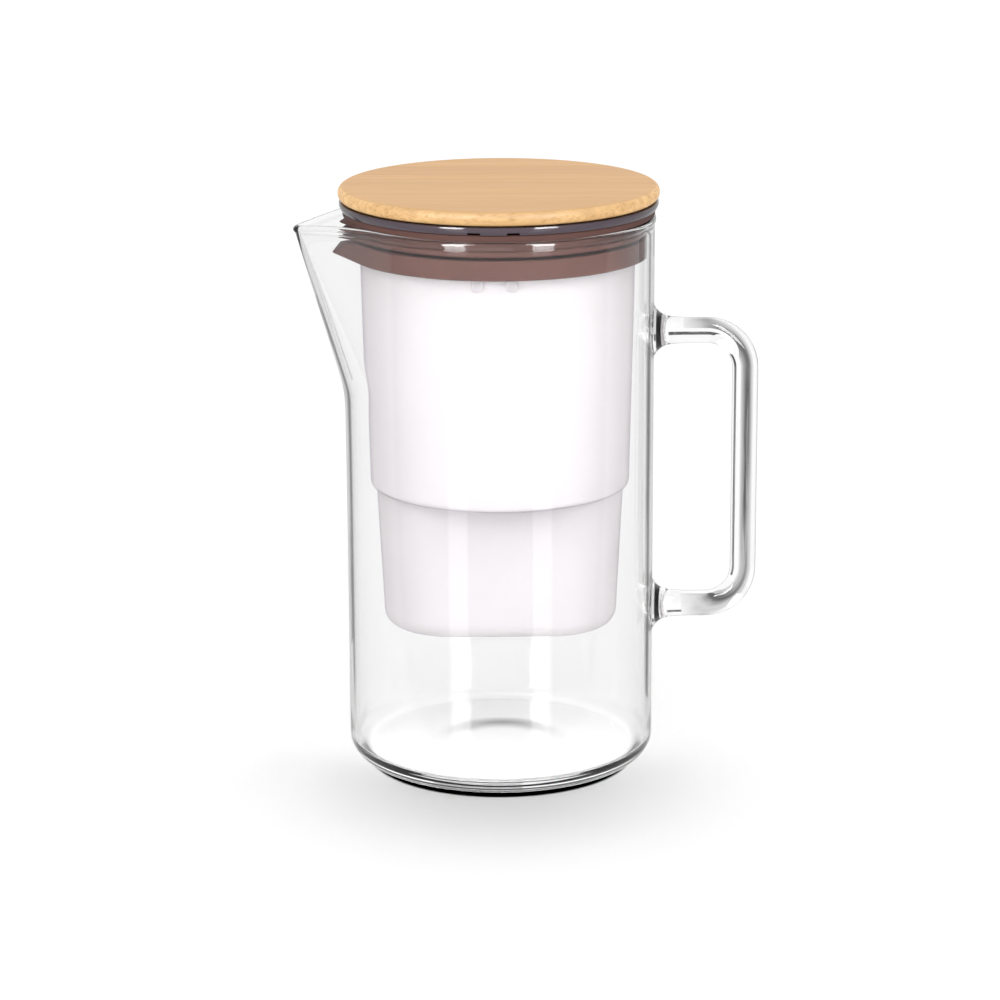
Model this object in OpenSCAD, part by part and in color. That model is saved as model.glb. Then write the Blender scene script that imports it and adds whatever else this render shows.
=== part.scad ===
// Water filter pitcher: a blown glass jug with a pouring spout and a fused rod handle,
// a plastic filter funnel that hangs in its neck, a filter cartridge and a bamboo lid.
// +Z is up. The origin is the centre of the jug's base, the spout points to -X and the
// handle to +X. All sizes are millimetres.

/* [Jug] */
// Outside diameter of the glass body
jug_d = 125; // [120:1:140]
// Height of the glass rim above the table
jug_h = 226; // [216:1:260]
// Thickness of the glass wall
glass_t = 2.8; // [2.2:0.1:3.4]
// Thickness of the glass floor
glass_floor_t = 6; // [4:0.5:9]
// Outside radius between the wall and the base
heel_r = 10.7; // [8:0.1:14]
// Radius of the fire-polished bead round the rim
bead_r = 1.75; // [1.6:0.05:2.2]
// Diameter of the hollow pressed into the underside
kick_d = 43; // [30:1:60]
// Diameter of the flat at the top of that hollow
kick_top_d = 27.5; // [10:0.5:29]
// Depth of the hollow in the underside
kick_h = 1.6; // [0.8:0.1:2.6]

/* [Spout] */
// How far the spout's tip stands out from the wall
spout_reach = 19.5; // [12:0.5:26]
// How far the tip lies below the round part of the rim
spout_drop = 4.3; // [0:0.1:8]
// Height over which the spout grows out of the wall
spout_h = 71; // [50:1:90]
// Outside radius of the tip, seen from above
spout_tip_r = 4; // [3.6:0.1:6]

/* [Handle] */
// Diameter of the glass rod
rod_d = 10.6; // [8:0.1:13]
// How far the rod's centre line stands out from the wall
handle_reach = 37.1; // [30:0.1:50]
// Centre of the upper arm, below the rim
handle_top_drop = 48; // [36:1:60]
// Centre of the lower arm, above the table
handle_low_z = 63; // [50:1:80]
// Radius of the bends, along the rod's centre line
bend_r = 15.6; // [10:0.1:20]
// Radius of the flare where the rod is welded to the wall
weld_r = 8; // [5:0.5:10]

/* [Neck gasket] */
// Running gap between the gasket's widest band and the glass
neck_clearance = 0.35; // [0.3:0.05:0.6]
// Gasket width, from the funnel to the widest band
gasket_w = 4.75; // [4:0.05:6]
// Thickness of the lip that lies on the glass rim
lip_t = 2.6; // [2:0.1:4]
// Height of the lowest and widest band
low_band_h = 8.1; // [6:0.1:10]
// Height of each of the two smaller bands
small_band_h = 2.95; // [2:0.05:4]
// Height of the grooves between the bands
groove_h = 0.6; // [0.4:0.1:1]
// How much smaller each band is than the one below it
band_step = 0.9; // [0.5:0.1:1.1]
// How far the lowest band reaches into the spout
beak_reach = 6.35; // [4:0.05:9]

/* [Funnel] */
// Wall thickness of the funnel
funnel_t = 2; // [1.6:0.1:2.4]
// Height of the round hopper, from the collar to its underside
hopper_h = 113.4; // [100:0.1:125]
// How much the hopper's radius shrinks towards its bottom
hopper_taper = 1.9; // [0.5:0.1:3]
// Radius between the hopper's wall and its underside
step_r = 3; // [2.2:0.1:4]
// Height of the cartridge cup below the hopper
cup_h = 58.5; // [48:0.5:66]
// Inset of the cup from the hopper's wall, at each end
cup_inset = 2.7; // [2.5:0.1:4]
// Front to back size of the cup at its top
cup_d = 68; // [62:1:71]
// Corner radius of the cup, seen from above
cup_corner_r = 30; // [28:0.5:31]
// How much the cup's half width shrinks towards its bottom
cup_taper = 2.6; // [1:0.1:4]
// Outside radius between the cup's wall and its floor
cup_heel_r = 7; // [5:0.5:9]

/* [Collar] */
// Thickness of the collar's outer ring
collar_t = 3.2; // [2.6:0.1:4]
// How far the collar stands out past the jug's wall
collar_over = 1.5; // [0.5:0.1:3]
// Depth of the skirt that drops inside the funnel
skirt_h = 9; // [6:0.5:12]
// Thickness of the skirt
skirt_t = 1.5; // [1:0.1:2]
// Width of each snap tab
tab_w = 4.5; // [3:0.1:6]
// Thickness of each snap tab
tab_t = 1.2; // [0.8:0.1:1.5]
// Length of a snap tab that shows below the gasket
tab_show = 5; // [4:0.5:8]
// Angle between the two tabs of a pair
tab_spread = 13.8; // [10:0.1:20]
// Angle by which the pairs are turned from front and back
tab_turn = 1.85; // [-5:0.05:5]

/* [Lid] */
// Thickness of the bamboo board
board_t = 5.6; // [5:0.1:9]
// How far the board stands out past the collar
board_over = 0.4; // [0:0.1:2]
// Rounding of the board's edge
board_edge_r = 2.6; // [1:0.1:2.6]
// Depth of the plug under the board
plug_h = 8; // [6.5:0.5:10]
// Radial gap between the plug and the collar
plug_gap = 1.4; // [1:0.1:2]
// Number of lid screws
screw_count = 4; // [3:1:8]
// Diameter of the lid screws' shanks
screw_d = 3; // [2.5:0.1:4]
// Radius of the circle that the lid screws lie on
screw_circle_r = 34; // [20:1:40]

/* [Cartridge] */
// Running gap between the cartridge and its cup
cartridge_gap = 0.6; // [0.4:0.1:1]
// Wall thickness of the cartridge
cartridge_t = 1.6; // [1.2:0.1:2]
// Thickness of the flange and the cap
flange_t = 1.8; // [1.4:0.1:2.4]
// Thickness of the seal under the flange
seal_t = 1.9; // [1.4:0.1:3]
// Thickness of each felt pad
felt_t = 2; // [1:0.1:3]
// Thickness of each screen
screen_t = 0.8; // [0.5:0.1:1.2]
// Width of the slots that let water in and out
slot_w = 3; // [2:0.1:4]
// Radius of the pull loop, along its centre line
loop_r = 12; // [10:0.5:14]
// Diameter of the pull loop's rod
loop_rod_d = 4.4; // [3:0.1:5]

/* [Hidden] */
$fn = 96;
HULL_FN = 40;

// Gap at rest between parts that lift apart
seat_gap = 0.3;
// Gap between parts that are clipped or packed together
fit_gap = 0.1;
// Extra length that makes a cut pass clear through a face
pass = 1;
// Thickness of the slices that a hull joins
slice_t = 0.5;

// Jug
jug_r = jug_d / 2;
bore_r = jug_r - glass_t;
rim_z = jug_h;
tip_x = jug_r + spout_reach;
spout_low_z = rim_z - spout_h;
floor_corner_r = heel_r - glass_t;
rod_r = rod_d / 2;
rod_x = jug_r + handle_reach;
handle_top_z = rim_z - handle_top_drop;

// Neck gasket
seal_r = bore_r - neck_clearance;
neck_r = seal_r - gasket_w;
lip_z = rim_z + seat_gap;
band_insets = [0, band_step, 2 * band_step];
band_heights = [low_band_h, small_band_h, small_band_h];
gasket_h = low_band_h + 2 * small_band_h + 3 * groove_h;
gasket_z = lip_z - gasket_h;
groove_depth = 0.7;
lip_over = 0.1;
lip_r = jug_r + lip_over;
lip_beak_reach = 2.2;
// The lowest beak takes the lower share of its band, and the middle one reaches less far
low_beak_share = 0.7;
middle_beak_share = 0.65;

// Funnel
collar_z = lip_z + lip_t;
hopper_z = collar_z - hopper_h;
shelf_z = hopper_z + funnel_t;
neck_below_tab = 2;
neck_low_z = gasket_z - tab_show - neck_below_tab;
hopper_low_r = neck_r - hopper_taper;
cup_half_w = hopper_low_r - cup_inset;
cup_half_d = cup_d / 2;
cup_z = hopper_z - cup_h;
cup_floor_z = cup_z + funnel_t;
corner_taper = 2;

// Collar and its snap tabs
collar_r = jug_r + collar_over;
skirt_r = neck_r - funnel_t - fit_gap;
mouth_r = skirt_r - skirt_t;
collar_top_z = collar_z + collar_t;
collar_chamfer = 0.7;
tab_low_z = gasket_z - tab_show;
tab_corner_r = 1.4;
hook_h = 1.6;
hook_depth = 0.8;
hook_above_tip = 1.2;
hook_z = tab_low_z + hook_above_tip;
notch_h = 0.8;
tab_angles = [for (side = [-90, 90], half = [-0.5, 0.5]) side - tab_turn + half * tab_spread];

// Lid
board_r = collar_r + board_over;
board_z = collar_top_z + seat_gap;
plug_r = mouth_r - plug_gap;
plug_z = board_z - plug_h;
lid_gasket_r = mouth_r - seat_gap;
ring_h = 2.6;
ring_depth = 1.4;
ring_above_tip = 2.2;
ring_z = plug_z + ring_above_tip;
ring_over = 0.4;
fin_h = 0.8;
head_share = 1.9;
head_r = screw_d * head_share / 2;
head_h = 2;
head_sink = 1;
pilot_gap = 0.1;
screw_bite = 3.6;
driver_share = 0.6;
driver_r = screw_d * driver_share / 2;
driver_h = 1.2;
screw_tip_gap = 0.3;

// Cartridge: each half size is [half width, half depth, corner radius]
housing_top = [cup_half_w - funnel_t - cartridge_gap, cup_half_d - funnel_t - cartridge_gap,
    cup_corner_r - funnel_t - cartridge_gap];
housing_low = [housing_top[0] - cup_taper, housing_top[1] - corner_taper,
    housing_top[2] - corner_taper];
housing_heel_r = cup_heel_r - funnel_t;
housing_z = cup_floor_z + seat_gap + fit_gap;
cavity_top = [for (v = housing_top) v - cartridge_t];
cavity_low = [for (v = housing_low) v - cartridge_t];
cavity_heel_r = housing_heel_r - cartridge_t;
cavity_z = housing_z + cartridge_t;
seal_z = shelf_z + seat_gap;
flange_z = seal_z + seal_t;
cap_z = flange_z + flange_t;
flange_margin = 2.1;
// The cap and the seal end this far inside the flange's edge
cap_inset = 0.6;
seal_inset = 0.2;
// Length over which two shapes of one solid overlap
root_h = 1;
cap_top_z = cap_z + flange_t;

// Media stack, from the cartridge's floor to its cap
media_room = 0.5;
bed_h = (cap_z - cavity_z - media_room - 2 * screen_t - 3 * felt_t) / 2;
lower_felt_z = cavity_z + screen_t;
resin_z = lower_felt_z + felt_t;
middle_felt_z = resin_z + bed_h;
carbon_z = middle_felt_z + felt_t;
upper_felt_z = carbon_z + bed_h;
inlet_screen_z = upper_felt_z + felt_t;

// Slots and screen holes
slot_pitch = 9;
outlet_slot_count = 5;
outlet_slot_l = 24;
inlet_slot_count = 7;
inlet_slot_l = 15.8;
// Least straight length left beside a slot's round end
slot_flat = 0.01;
inlet_slot_y = 17;
screen_hole_r = 1.5;
screen_pitch = 8;
screen_edge = 4;

// Surface of revolution between two heights, from radius r_low to radius r_top
module cone_between(z_low, z_top, r_low, r_top) {
    translate([0, 0, z_low]) cylinder(h = z_top - z_low, r1 = r_low, r2 = r_top);
}

// Flat ring
module ring(z, h, r_out, r_in) {
    translate([0, 0, z]) difference() {
        cylinder(h = h, r = r_out);
        translate([0, 0, -pass]) cylinder(h = h + 2 * pass, r = r_in);
    }
}

// Rectangle with round corners, from its half sizes
module round_rect(half_w, half_d, r) {
    square([2 * (half_w - r), 2 * half_d], center = true);
    square([2 * half_w, 2 * (half_d - r)], center = true);
    for (x = [-1, 1], y = [-1, 1])
        translate([x * (half_w - r), y * (half_d - r)]) circle(r);
}

// Half profile of a cylinder whose lower edge is rounded
module heel_profile(r, h, heel) {
    translate([0, heel]) square([r, h - heel]);
    square([r - heel, heel]);
    translate([r - heel, heel]) circle(heel);
}

// Tapered box with round corners and a rounded lower edge, from half sizes as in round_rect
module tapered_box(top, low, heel, z_low, z_top) {
    hull() for (x = [-1, 1], y = [-1, 1]) {
        translate([x * (top[0] - top[2]), y * (top[1] - top[2]), z_top - slice_t])
            cylinder(h = slice_t, r = top[2], $fn = HULL_FN);
        translate([x * (low[0] - low[2]), y * (low[1] - low[2]), z_low + heel])
            rotate_extrude($fn = HULL_FN) translate([low[2] - heel, 0]) circle(heel, $fn = 24);
    }
}

// Row of parallel slots through the floor at z
module slot_row(z, h, count, slot_l) {
    for (i = [0 : count - 1])
        translate([(i - (count - 1) / 2) * slot_pitch, 0, z])
            linear_extrude(h) round_rect(slot_w / 2, slot_l / 2, slot_w / 2 - slot_flat);
}

// Spout as a wedge between the round wall and the tip; its round side hides in the wall
module spout_wedge(wall_r, tip_reach, tip_r, top_z, tip_z) {
    hidden = 0.3;
    hull() {
        translate([0, 0, spout_low_z]) cylinder(h = slice_t, r = wall_r - hidden, $fn = 72);
        translate([0, 0, top_z - slice_t]) cylinder(h = slice_t, r = wall_r - hidden, $fn = 72);
        translate([-tip_reach + tip_r, 0, rim_z - spout_drop - slice_t])
            cylinder(h = tip_z - rim_z + spout_drop + slice_t, r = tip_r, $fn = HULL_FN);
    }
}

module jug_glass() {
    above_rim = 10;
    mouth_z = rim_z + above_rim;
    bead_trim = 0.15;
    color([0.86, 0.93, 0.94, 0.35]) difference() {
        union() {
            rotate_extrude() intersection() {
                heel_profile(jug_r, rim_z - bead_r, heel_r);
                square([jug_r, rim_z]);
            }
            translate([0, 0, rim_z - bead_r]) rotate_extrude()
                translate([bore_r + bead_r - bead_trim, 0]) circle(bead_r, $fn = 32);
            spout_wedge(jug_r, tip_x, spout_tip_r, rim_z - bead_r - slice_t, rim_z - spout_drop);
        }
        translate([0, 0, glass_floor_t]) rotate_extrude() intersection() {
            heel_profile(bore_r, mouth_z - glass_floor_t, floor_corner_r);
            square([bore_r, mouth_z]);
        }
        spout_wedge(bore_r, tip_x - glass_t, spout_tip_r - glass_t, mouth_z, mouth_z);
        cone_between(-pass, 0, kick_d / 2, kick_d / 2);
        cone_between(0, kick_h, kick_d / 2, kick_top_d / 2);
    }
}

// One arm of the handle, from inside the wall to the bend, with its welded flare
module handle_arm(z) {
    inside = 8;
    translate([jug_r - inside, 0, z]) rotate([0, 90, 0]) {
        cylinder(h = inside + handle_reach - bend_r, r = rod_r);
        difference() {
            cylinder(h = inside + weld_r, r = rod_r + weld_r);
            translate([0, 0, inside + weld_r]) rotate_extrude()
                translate([rod_r + weld_r, 0]) circle(weld_r, $fn = 48);
        }
    }
}

// Quarter bend that joins an arm to the grip; up is 1 for the upper bend, -1 for the lower
module handle_bend(z, up) {
    translate([rod_x - bend_r, 0, z - up * bend_r]) rotate([90, 0, 0])
        rotate([0, 0, up > 0 ? 0 : -90]) rotate_extrude(angle = 90)
            translate([bend_r, 0]) circle(rod_r, $fn = 48);
}

module handle() {
    clear = rod_d + weld_r + pass;
    color([0.82, 0.9, 0.92, 0.4]) difference() {
        union() {
            handle_arm(handle_top_z);
            handle_arm(handle_low_z);
            handle_bend(handle_top_z, 1);
            handle_bend(handle_low_z, -1);
            translate([rod_x, 0, handle_low_z + bend_r])
                cylinder(h = handle_top_z - handle_low_z - 2 * bend_r, r = rod_r);
        }
        translate([0, 0, handle_low_z - clear])
            cylinder(h = handle_top_z - handle_low_z + 2 * clear, r = jug_r);
    }
}

// Pointed beak on a band of radius r, drawn as the two tangents from its tip
module beak(z, h, r, reach) {
    touch = acos(r / (r + reach));
    translate([0, 0, z]) linear_extrude(h) polygon([
        [0, 0],
        [-r * cos(touch), r * sin(touch)],
        [-(r + reach), 0],
        [-r * cos(touch), -r * sin(touch)],
    ]);
}

// Lower edge of band number i, counted from the lowest
function band_z(i) = i == 0 ? gasket_z : band_z(i - 1) + band_heights[i - 1] + groove_h;

module neck_gasket() {
    color([0.53, 0.4, 0.375]) difference() {
        union() {
            ring(gasket_z, gasket_h + lip_t, seal_r - 2 * band_step - groove_depth, neck_r);
            for (i = [0 : 2]) ring(band_z(i), band_heights[i], seal_r - band_insets[i], neck_r);
            ring(lip_z, lip_t, lip_r, neck_r);
            beak(gasket_z, low_band_h * low_beak_share, seal_r, beak_reach);
            beak(band_z(1), small_band_h, seal_r - band_step, beak_reach * middle_beak_share);
            beak(lip_z, lip_t, lip_r, lip_beak_reach);
        }
        cone_between(gasket_z - pass, collar_z + pass, neck_r, neck_r);
        for (a = tab_angles) rotate([0, 0, a])
            translate([neck_r - tab_t, -tab_w / 2 - fit_gap, gasket_z - pass])
                cube([2 * tab_t + fit_gap, tab_w + 2 * fit_gap, gasket_h + lip_t + 2 * pass]);
    }
}

// Outline of a snap tab that hangs from its top edge, with round lower corners
module tab_outline(h) {
    translate([-tab_w / 2, tab_corner_r - h]) square([tab_w, h - tab_corner_r]);
    translate([tab_corner_r - tab_w / 2, -h]) square([tab_w - 2 * tab_corner_r, h]);
    for (side = [-1, 1])
        translate([side * (tab_w / 2 - tab_corner_r), tab_corner_r - h]) circle(tab_corner_r);
}

// Snap tab that lies along the outside of the funnel on the +X side, with its hook
module snap_tab() {
    overlap = 0.5;
    intersection() {
        ring(tab_low_z, collar_z - tab_low_z + overlap, neck_r + tab_t, neck_r);
        translate([neck_r - tab_t, 0, collar_z + overlap]) rotate([90, 0, 90])
            linear_extrude(3 * tab_t) tab_outline(collar_z + overlap - tab_low_z);
    }
    intersection() {
        ring(hook_z, hook_h, neck_r + tab_t / 2, neck_r - hook_depth);
        translate([0, -tab_w / 4, hook_z]) cube([2 * neck_r, tab_w / 2, hook_h]);
    }
}

module collar() {
    color([0.34, 0.29, 0.34, 0.85]) difference() {
        union() {
            rotate_extrude() translate([0, collar_z]) polygon([
                [mouth_r, -skirt_h],
                [skirt_r, -skirt_h],
                [skirt_r, 0],
                [collar_r - collar_chamfer, 0],
                [collar_r, collar_t / 2],
                [collar_r, collar_t],
                [mouth_r, collar_t],
            ]);
            for (a = tab_angles) rotate([0, 0, a]) snap_tab();
        }
        for (a = tab_angles) rotate([0, 0, a])
            translate([neck_r + tab_t, -tab_w / 2, collar_z - pass])
                cube([collar_r - neck_r, tab_w, notch_h + pass]);
    }
}

module reservoir() {
    cup_top = [cup_half_w, cup_half_d, cup_corner_r];
    cup_low = [cup_half_w - cup_taper, cup_half_d - corner_taper, cup_corner_r - corner_taper];
    inner_top = [for (v = cup_top) v - funnel_t];
    inner_low = [for (v = cup_low) v - funnel_t];
    color([0.95, 0.94, 0.95, 0.9]) difference() {
        union() {
            cone_between(neck_low_z, collar_z, neck_r, neck_r);
            cone_between(hopper_z + step_r, neck_low_z, hopper_low_r, neck_r);
            translate([0, 0, hopper_z]) rotate_extrude() intersection() {
                heel_profile(hopper_low_r, 2 * step_r, step_r);
                square([hopper_low_r, step_r]);
            }
            tapered_box(cup_top, cup_low, cup_heel_r, cup_z, hopper_z + slice_t);
        }
        cone_between(neck_low_z, collar_z + pass, neck_r - funnel_t, neck_r - funnel_t);
        cone_between(shelf_z, neck_low_z, hopper_low_r - funnel_t, neck_r - funnel_t);
        tapered_box(inner_top, inner_low, cup_heel_r - funnel_t, cup_floor_z, shelf_z + pass);
        slot_row(cup_z - pass, funnel_t + 2 * pass, outlet_slot_count, outlet_slot_l);
        for (a = tab_angles) rotate([0, 0, a]) intersection() {
            ring(hook_z - fit_gap, hook_h + 2 * fit_gap, neck_r + pass,
                neck_r - hook_depth - fit_gap);
            translate([0, -tab_w / 4 - fit_gap, hook_z - pass])
                cube([2 * neck_r, tab_w / 2 + 2 * fit_gap, hook_h + 2 * pass]);
        }
    }
}

module cartridge_housing() {
    color([0.93, 0.94, 0.96]) difference() {
        union() {
            tapered_box(housing_top, housing_low, housing_heel_r, housing_z, seal_z - root_h);
            translate([0, 0, seal_z - root_h]) linear_extrude(flange_z - seal_z + root_h)
                round_rect(housing_top[0], housing_top[1], housing_top[2]);
            translate([0, 0, flange_z]) linear_extrude(flange_t) round_rect(
                housing_top[0] + flange_margin,
                housing_top[1] + flange_margin,
                housing_top[2] + flange_margin);
        }
        tapered_box(cavity_top, cavity_low, cavity_heel_r, cavity_z, cap_z + pass);
        slot_row(housing_z - pass, cartridge_t + 2 * pass, outlet_slot_count, outlet_slot_l);
    }
}

module cartridge_cap() {
    margin = flange_margin - cap_inset;
    color([0.2, 0.5, 0.72]) difference() {
        union() {
            translate([0, 0, cap_z]) linear_extrude(flange_t) round_rect(
                housing_top[0] + margin, housing_top[1] + margin, housing_top[2] + margin);
            difference() {
                translate([0, 0, cap_top_z]) rotate([90, 0, 0]) rotate_extrude()
                    translate([loop_r, 0]) circle(loop_rod_d / 2, $fn = 32);
                translate([-2 * loop_r, -2 * loop_r, cap_z - 4 * loop_r + flange_t / 2])
                    cube([4 * loop_r, 4 * loop_r, 4 * loop_r]);
            }
        }
        for (side = [-1, 1]) translate([0, side * inlet_slot_y, 0])
            slot_row(cap_z - pass, flange_t + 2 * pass, inlet_slot_count, inlet_slot_l);
    }
}

module cartridge_seal() {
    margin = flange_margin - seal_inset;
    color([0.35, 0.37, 0.4]) translate([0, 0, seal_z]) linear_extrude(seal_t) difference() {
        round_rect(housing_top[0] + margin, housing_top[1] + margin, housing_top[2] + margin);
        round_rect(housing_top[0], housing_top[1], housing_top[2]);
    }
}

// Screen plate that fits the cartridge's outline there, with a grid of round holes
module screen(z, half) {
    columns = floor((half[0] - screen_edge) / screen_pitch);
    rows = floor((half[1] - screen_edge) / screen_pitch);
    translate([0, 0, z]) linear_extrude(screen_t) difference() {
        round_rect(half[0], half[1], half[2]);
        for (i = [-columns : columns], j = [-rows : rows])
            if (norm([i, j]) < columns)
                translate([i * screen_pitch, j * screen_pitch]) circle(screen_hole_r, $fn = 16);
    }
}

// Layer of the cartridge's filling between two heights
module media_layer(z_low, h) {
    intersection() {
        tapered_box([for (v = cavity_top) v - fit_gap], [for (v = cavity_low) v - fit_gap],
            cavity_heel_r, cavity_z, cap_z + pass);
        translate([0, 0, z_low + h / 2])
            cube([4 * cavity_top[0], 4 * cavity_top[1], h], center = true);
    }
}

// Each screen is as wide as the cartridge's inside where it lies
module inlet_screen() {
    color([0.75, 0.8, 0.85]) screen(inlet_screen_z, [for (v = cavity_top) v - 2 * fit_gap]);
}

module outlet_screen() {
    color([0.75, 0.8, 0.85])
        screen(cavity_z, [for (v = cavity_low) v - cavity_heel_r - fit_gap]);
}

module upper_felt() {
    color([0.97, 0.97, 0.95]) media_layer(upper_felt_z, felt_t);
}

module middle_felt() {
    color([0.97, 0.97, 0.95]) media_layer(middle_felt_z, felt_t);
}

module lower_felt() {
    color([0.97, 0.97, 0.95]) media_layer(lower_felt_z, felt_t);
}

module carbon_bed() {
    color([0.12, 0.12, 0.12]) media_layer(carbon_z, bed_h);
}

module resin_bed() {
    color([0.85, 0.62, 0.3]) media_layer(resin_z, bed_h);
}

// Moves a shape to each lid screw's place
module each_screw() {
    for (i = [0 : screw_count - 1]) rotate([0, 0, (i + 0.5) * 360 / screw_count])
        translate([screw_circle_r, 0, 0]) children();
}

module lid_board() {
    edge_r = min(board_edge_r, board_t / 2 - 0.1);
    color([0.89, 0.73, 0.53]) difference() {
        translate([0, 0, board_z]) rotate_extrude() {
            square([board_r - edge_r, board_t]);
            translate([0, edge_r]) square([board_r, board_t - 2 * edge_r]);
            for (z = [edge_r, board_t - edge_r]) intersection() {
                translate([board_r - edge_r, z]) circle(edge_r, $fn = 48);
                square([board_r, board_t]);
            }
        }
        each_screw() translate([0, 0, board_z - pass])
            cylinder(h = screw_bite + pass, r = screw_d / 2 - pilot_gap);
    }
}

module lid_plug() {
    color([0.84, 0.68, 0.47]) difference() {
        translate([0, 0, plug_z]) cylinder(h = plug_h, r = plug_r);
        ring(ring_z, ring_h, plug_r + pass, plug_r - ring_depth);
        each_screw() {
            translate([0, 0, plug_z - pass]) cylinder(h = plug_h + 2 * pass, r = screw_d / 2);
            translate([0, 0, plug_z - pass])
                cylinder(h = head_h + head_sink + pass, r = head_r + fit_gap);
        }
    }
}

// Silicone ring with two lips, held in the plug's groove
module lid_gasket() {
    body_r = plug_r + ring_over;
    color([0.85, 0.86, 0.86]) {
        ring(ring_z, ring_h, body_r, plug_r - ring_depth);
        for (z = [ring_z, ring_z + ring_h - fin_h])
            ring(z, fin_h, lid_gasket_r, body_r - ring_over / 2);
    }
}

module lid_screws() {
    head_z = plug_z + head_sink;
    color([0.72, 0.73, 0.75]) each_screw() translate([0, 0, head_z]) difference() {
        union() {
            cylinder(h = head_h, r = head_r);
            cylinder(h = plug_h - head_sink + screw_bite - screw_tip_gap, r = screw_d / 2);
        }
        translate([0, 0, -pass]) cylinder(h = driver_h + pass, r = driver_r, $fn = 6);
    }
}

jug_glass();
handle();
neck_gasket();
collar();
reservoir();
cartridge_housing();
cartridge_cap();
cartridge_seal();
inlet_screen();
upper_felt();
carbon_bed();
middle_felt();
resin_bed();
lower_felt();
outlet_screen();
lid_board();
lid_plug();
lid_gasket();
lid_screws();
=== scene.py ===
# %% [markdown]
# # A water filter pitcher
# The real object is a jug of blown borosilicate glass with a pouring spout and a glass rod
# handle. A frosted plastic funnel with a filter cartridge hangs in its neck on a brown
# silicone gasket, under a smoked plastic collar and a round bamboo lid. The construction
# comes with the frame, so this lesson only makes the surfaces that the eye sees and the
# finishes of everything.

# %% Load the frame
import math

import bpy
import numpy as np
from mathutils import Matrix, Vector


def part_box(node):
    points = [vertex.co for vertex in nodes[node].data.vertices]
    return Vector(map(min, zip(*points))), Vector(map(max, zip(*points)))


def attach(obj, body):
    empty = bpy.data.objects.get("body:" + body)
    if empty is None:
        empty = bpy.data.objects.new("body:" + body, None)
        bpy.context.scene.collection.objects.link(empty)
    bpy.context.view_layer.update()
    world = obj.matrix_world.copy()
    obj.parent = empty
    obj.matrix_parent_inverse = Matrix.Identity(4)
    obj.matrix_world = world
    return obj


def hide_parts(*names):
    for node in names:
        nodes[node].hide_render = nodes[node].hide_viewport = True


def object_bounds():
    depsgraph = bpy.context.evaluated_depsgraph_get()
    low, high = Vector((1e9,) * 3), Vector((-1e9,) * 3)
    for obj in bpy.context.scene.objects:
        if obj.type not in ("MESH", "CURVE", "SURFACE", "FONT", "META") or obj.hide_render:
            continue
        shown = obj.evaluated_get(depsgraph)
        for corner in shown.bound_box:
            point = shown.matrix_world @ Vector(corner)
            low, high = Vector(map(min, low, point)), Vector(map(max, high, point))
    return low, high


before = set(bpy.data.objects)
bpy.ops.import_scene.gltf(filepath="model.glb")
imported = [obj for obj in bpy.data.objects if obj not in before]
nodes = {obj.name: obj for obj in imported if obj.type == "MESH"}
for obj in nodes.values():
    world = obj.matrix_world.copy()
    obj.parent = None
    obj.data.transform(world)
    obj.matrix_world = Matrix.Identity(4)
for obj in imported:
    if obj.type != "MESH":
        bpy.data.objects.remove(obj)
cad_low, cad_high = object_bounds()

# %% [markdown]
# ## The camera
# A product photograph is taken from far away with a long lens, so that upright walls stay
# upright. The camera could be placed by eye, but here its place was worked out from the
# ellipses of the base, the rim and the lid: it stands 1.4 m in front of the jug, half a metre
# above the table, and looks down by 15 degrees. The picture is turned by a quarter of a
# degree, as a hand-held or badly levelled camera turns it.

# %% Camera
CAMERA_BACK = 1.409
CAMERA_UP = 0.486
CAMERA_PITCH = math.radians(15.05)
CAMERA_ROLL = math.radians(0.241)
FOCAL_PIXELS = 3565
IMAGE_PIXELS = 1000
SENSOR_MM = 36.0

camera_data = bpy.data.cameras.new("photo_camera")
camera_data.sensor_width = SENSOR_MM
camera_data.lens = SENSOR_MM * FOCAL_PIXELS / IMAGE_PIXELS
camera = bpy.data.objects.new("photo_camera", camera_data)
bpy.context.scene.collection.objects.link(camera)
camera.matrix_world = (
    Matrix.Translation((0, -CAMERA_BACK, CAMERA_UP))
    @ Matrix.Rotation(math.pi / 2 - CAMERA_PITCH, 4, "X")
    @ Matrix.Rotation(-CAMERA_ROLL, 4, "Z")
)
bpy.context.scene.camera = camera
print("lens", round(camera_data.lens, 1), "mm")

# %% [markdown]
# ## Surfaces from numbers
# Glass, moulded plastic and turned wood all have surfaces that one rule describes: a profile
# that goes round an axis, or a ring that is carried along a path. Modelling such a shape by
# hand takes many steps, and each later change means doing them again. Here a shape is a grid of
# points: rows follow the profile and columns go round. All points of a grid are worked out
# at once with numpy, in millimetres, and one helper turns the grid into a closed mesh.

# %% Helpers for grids
MM = 0.001


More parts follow.
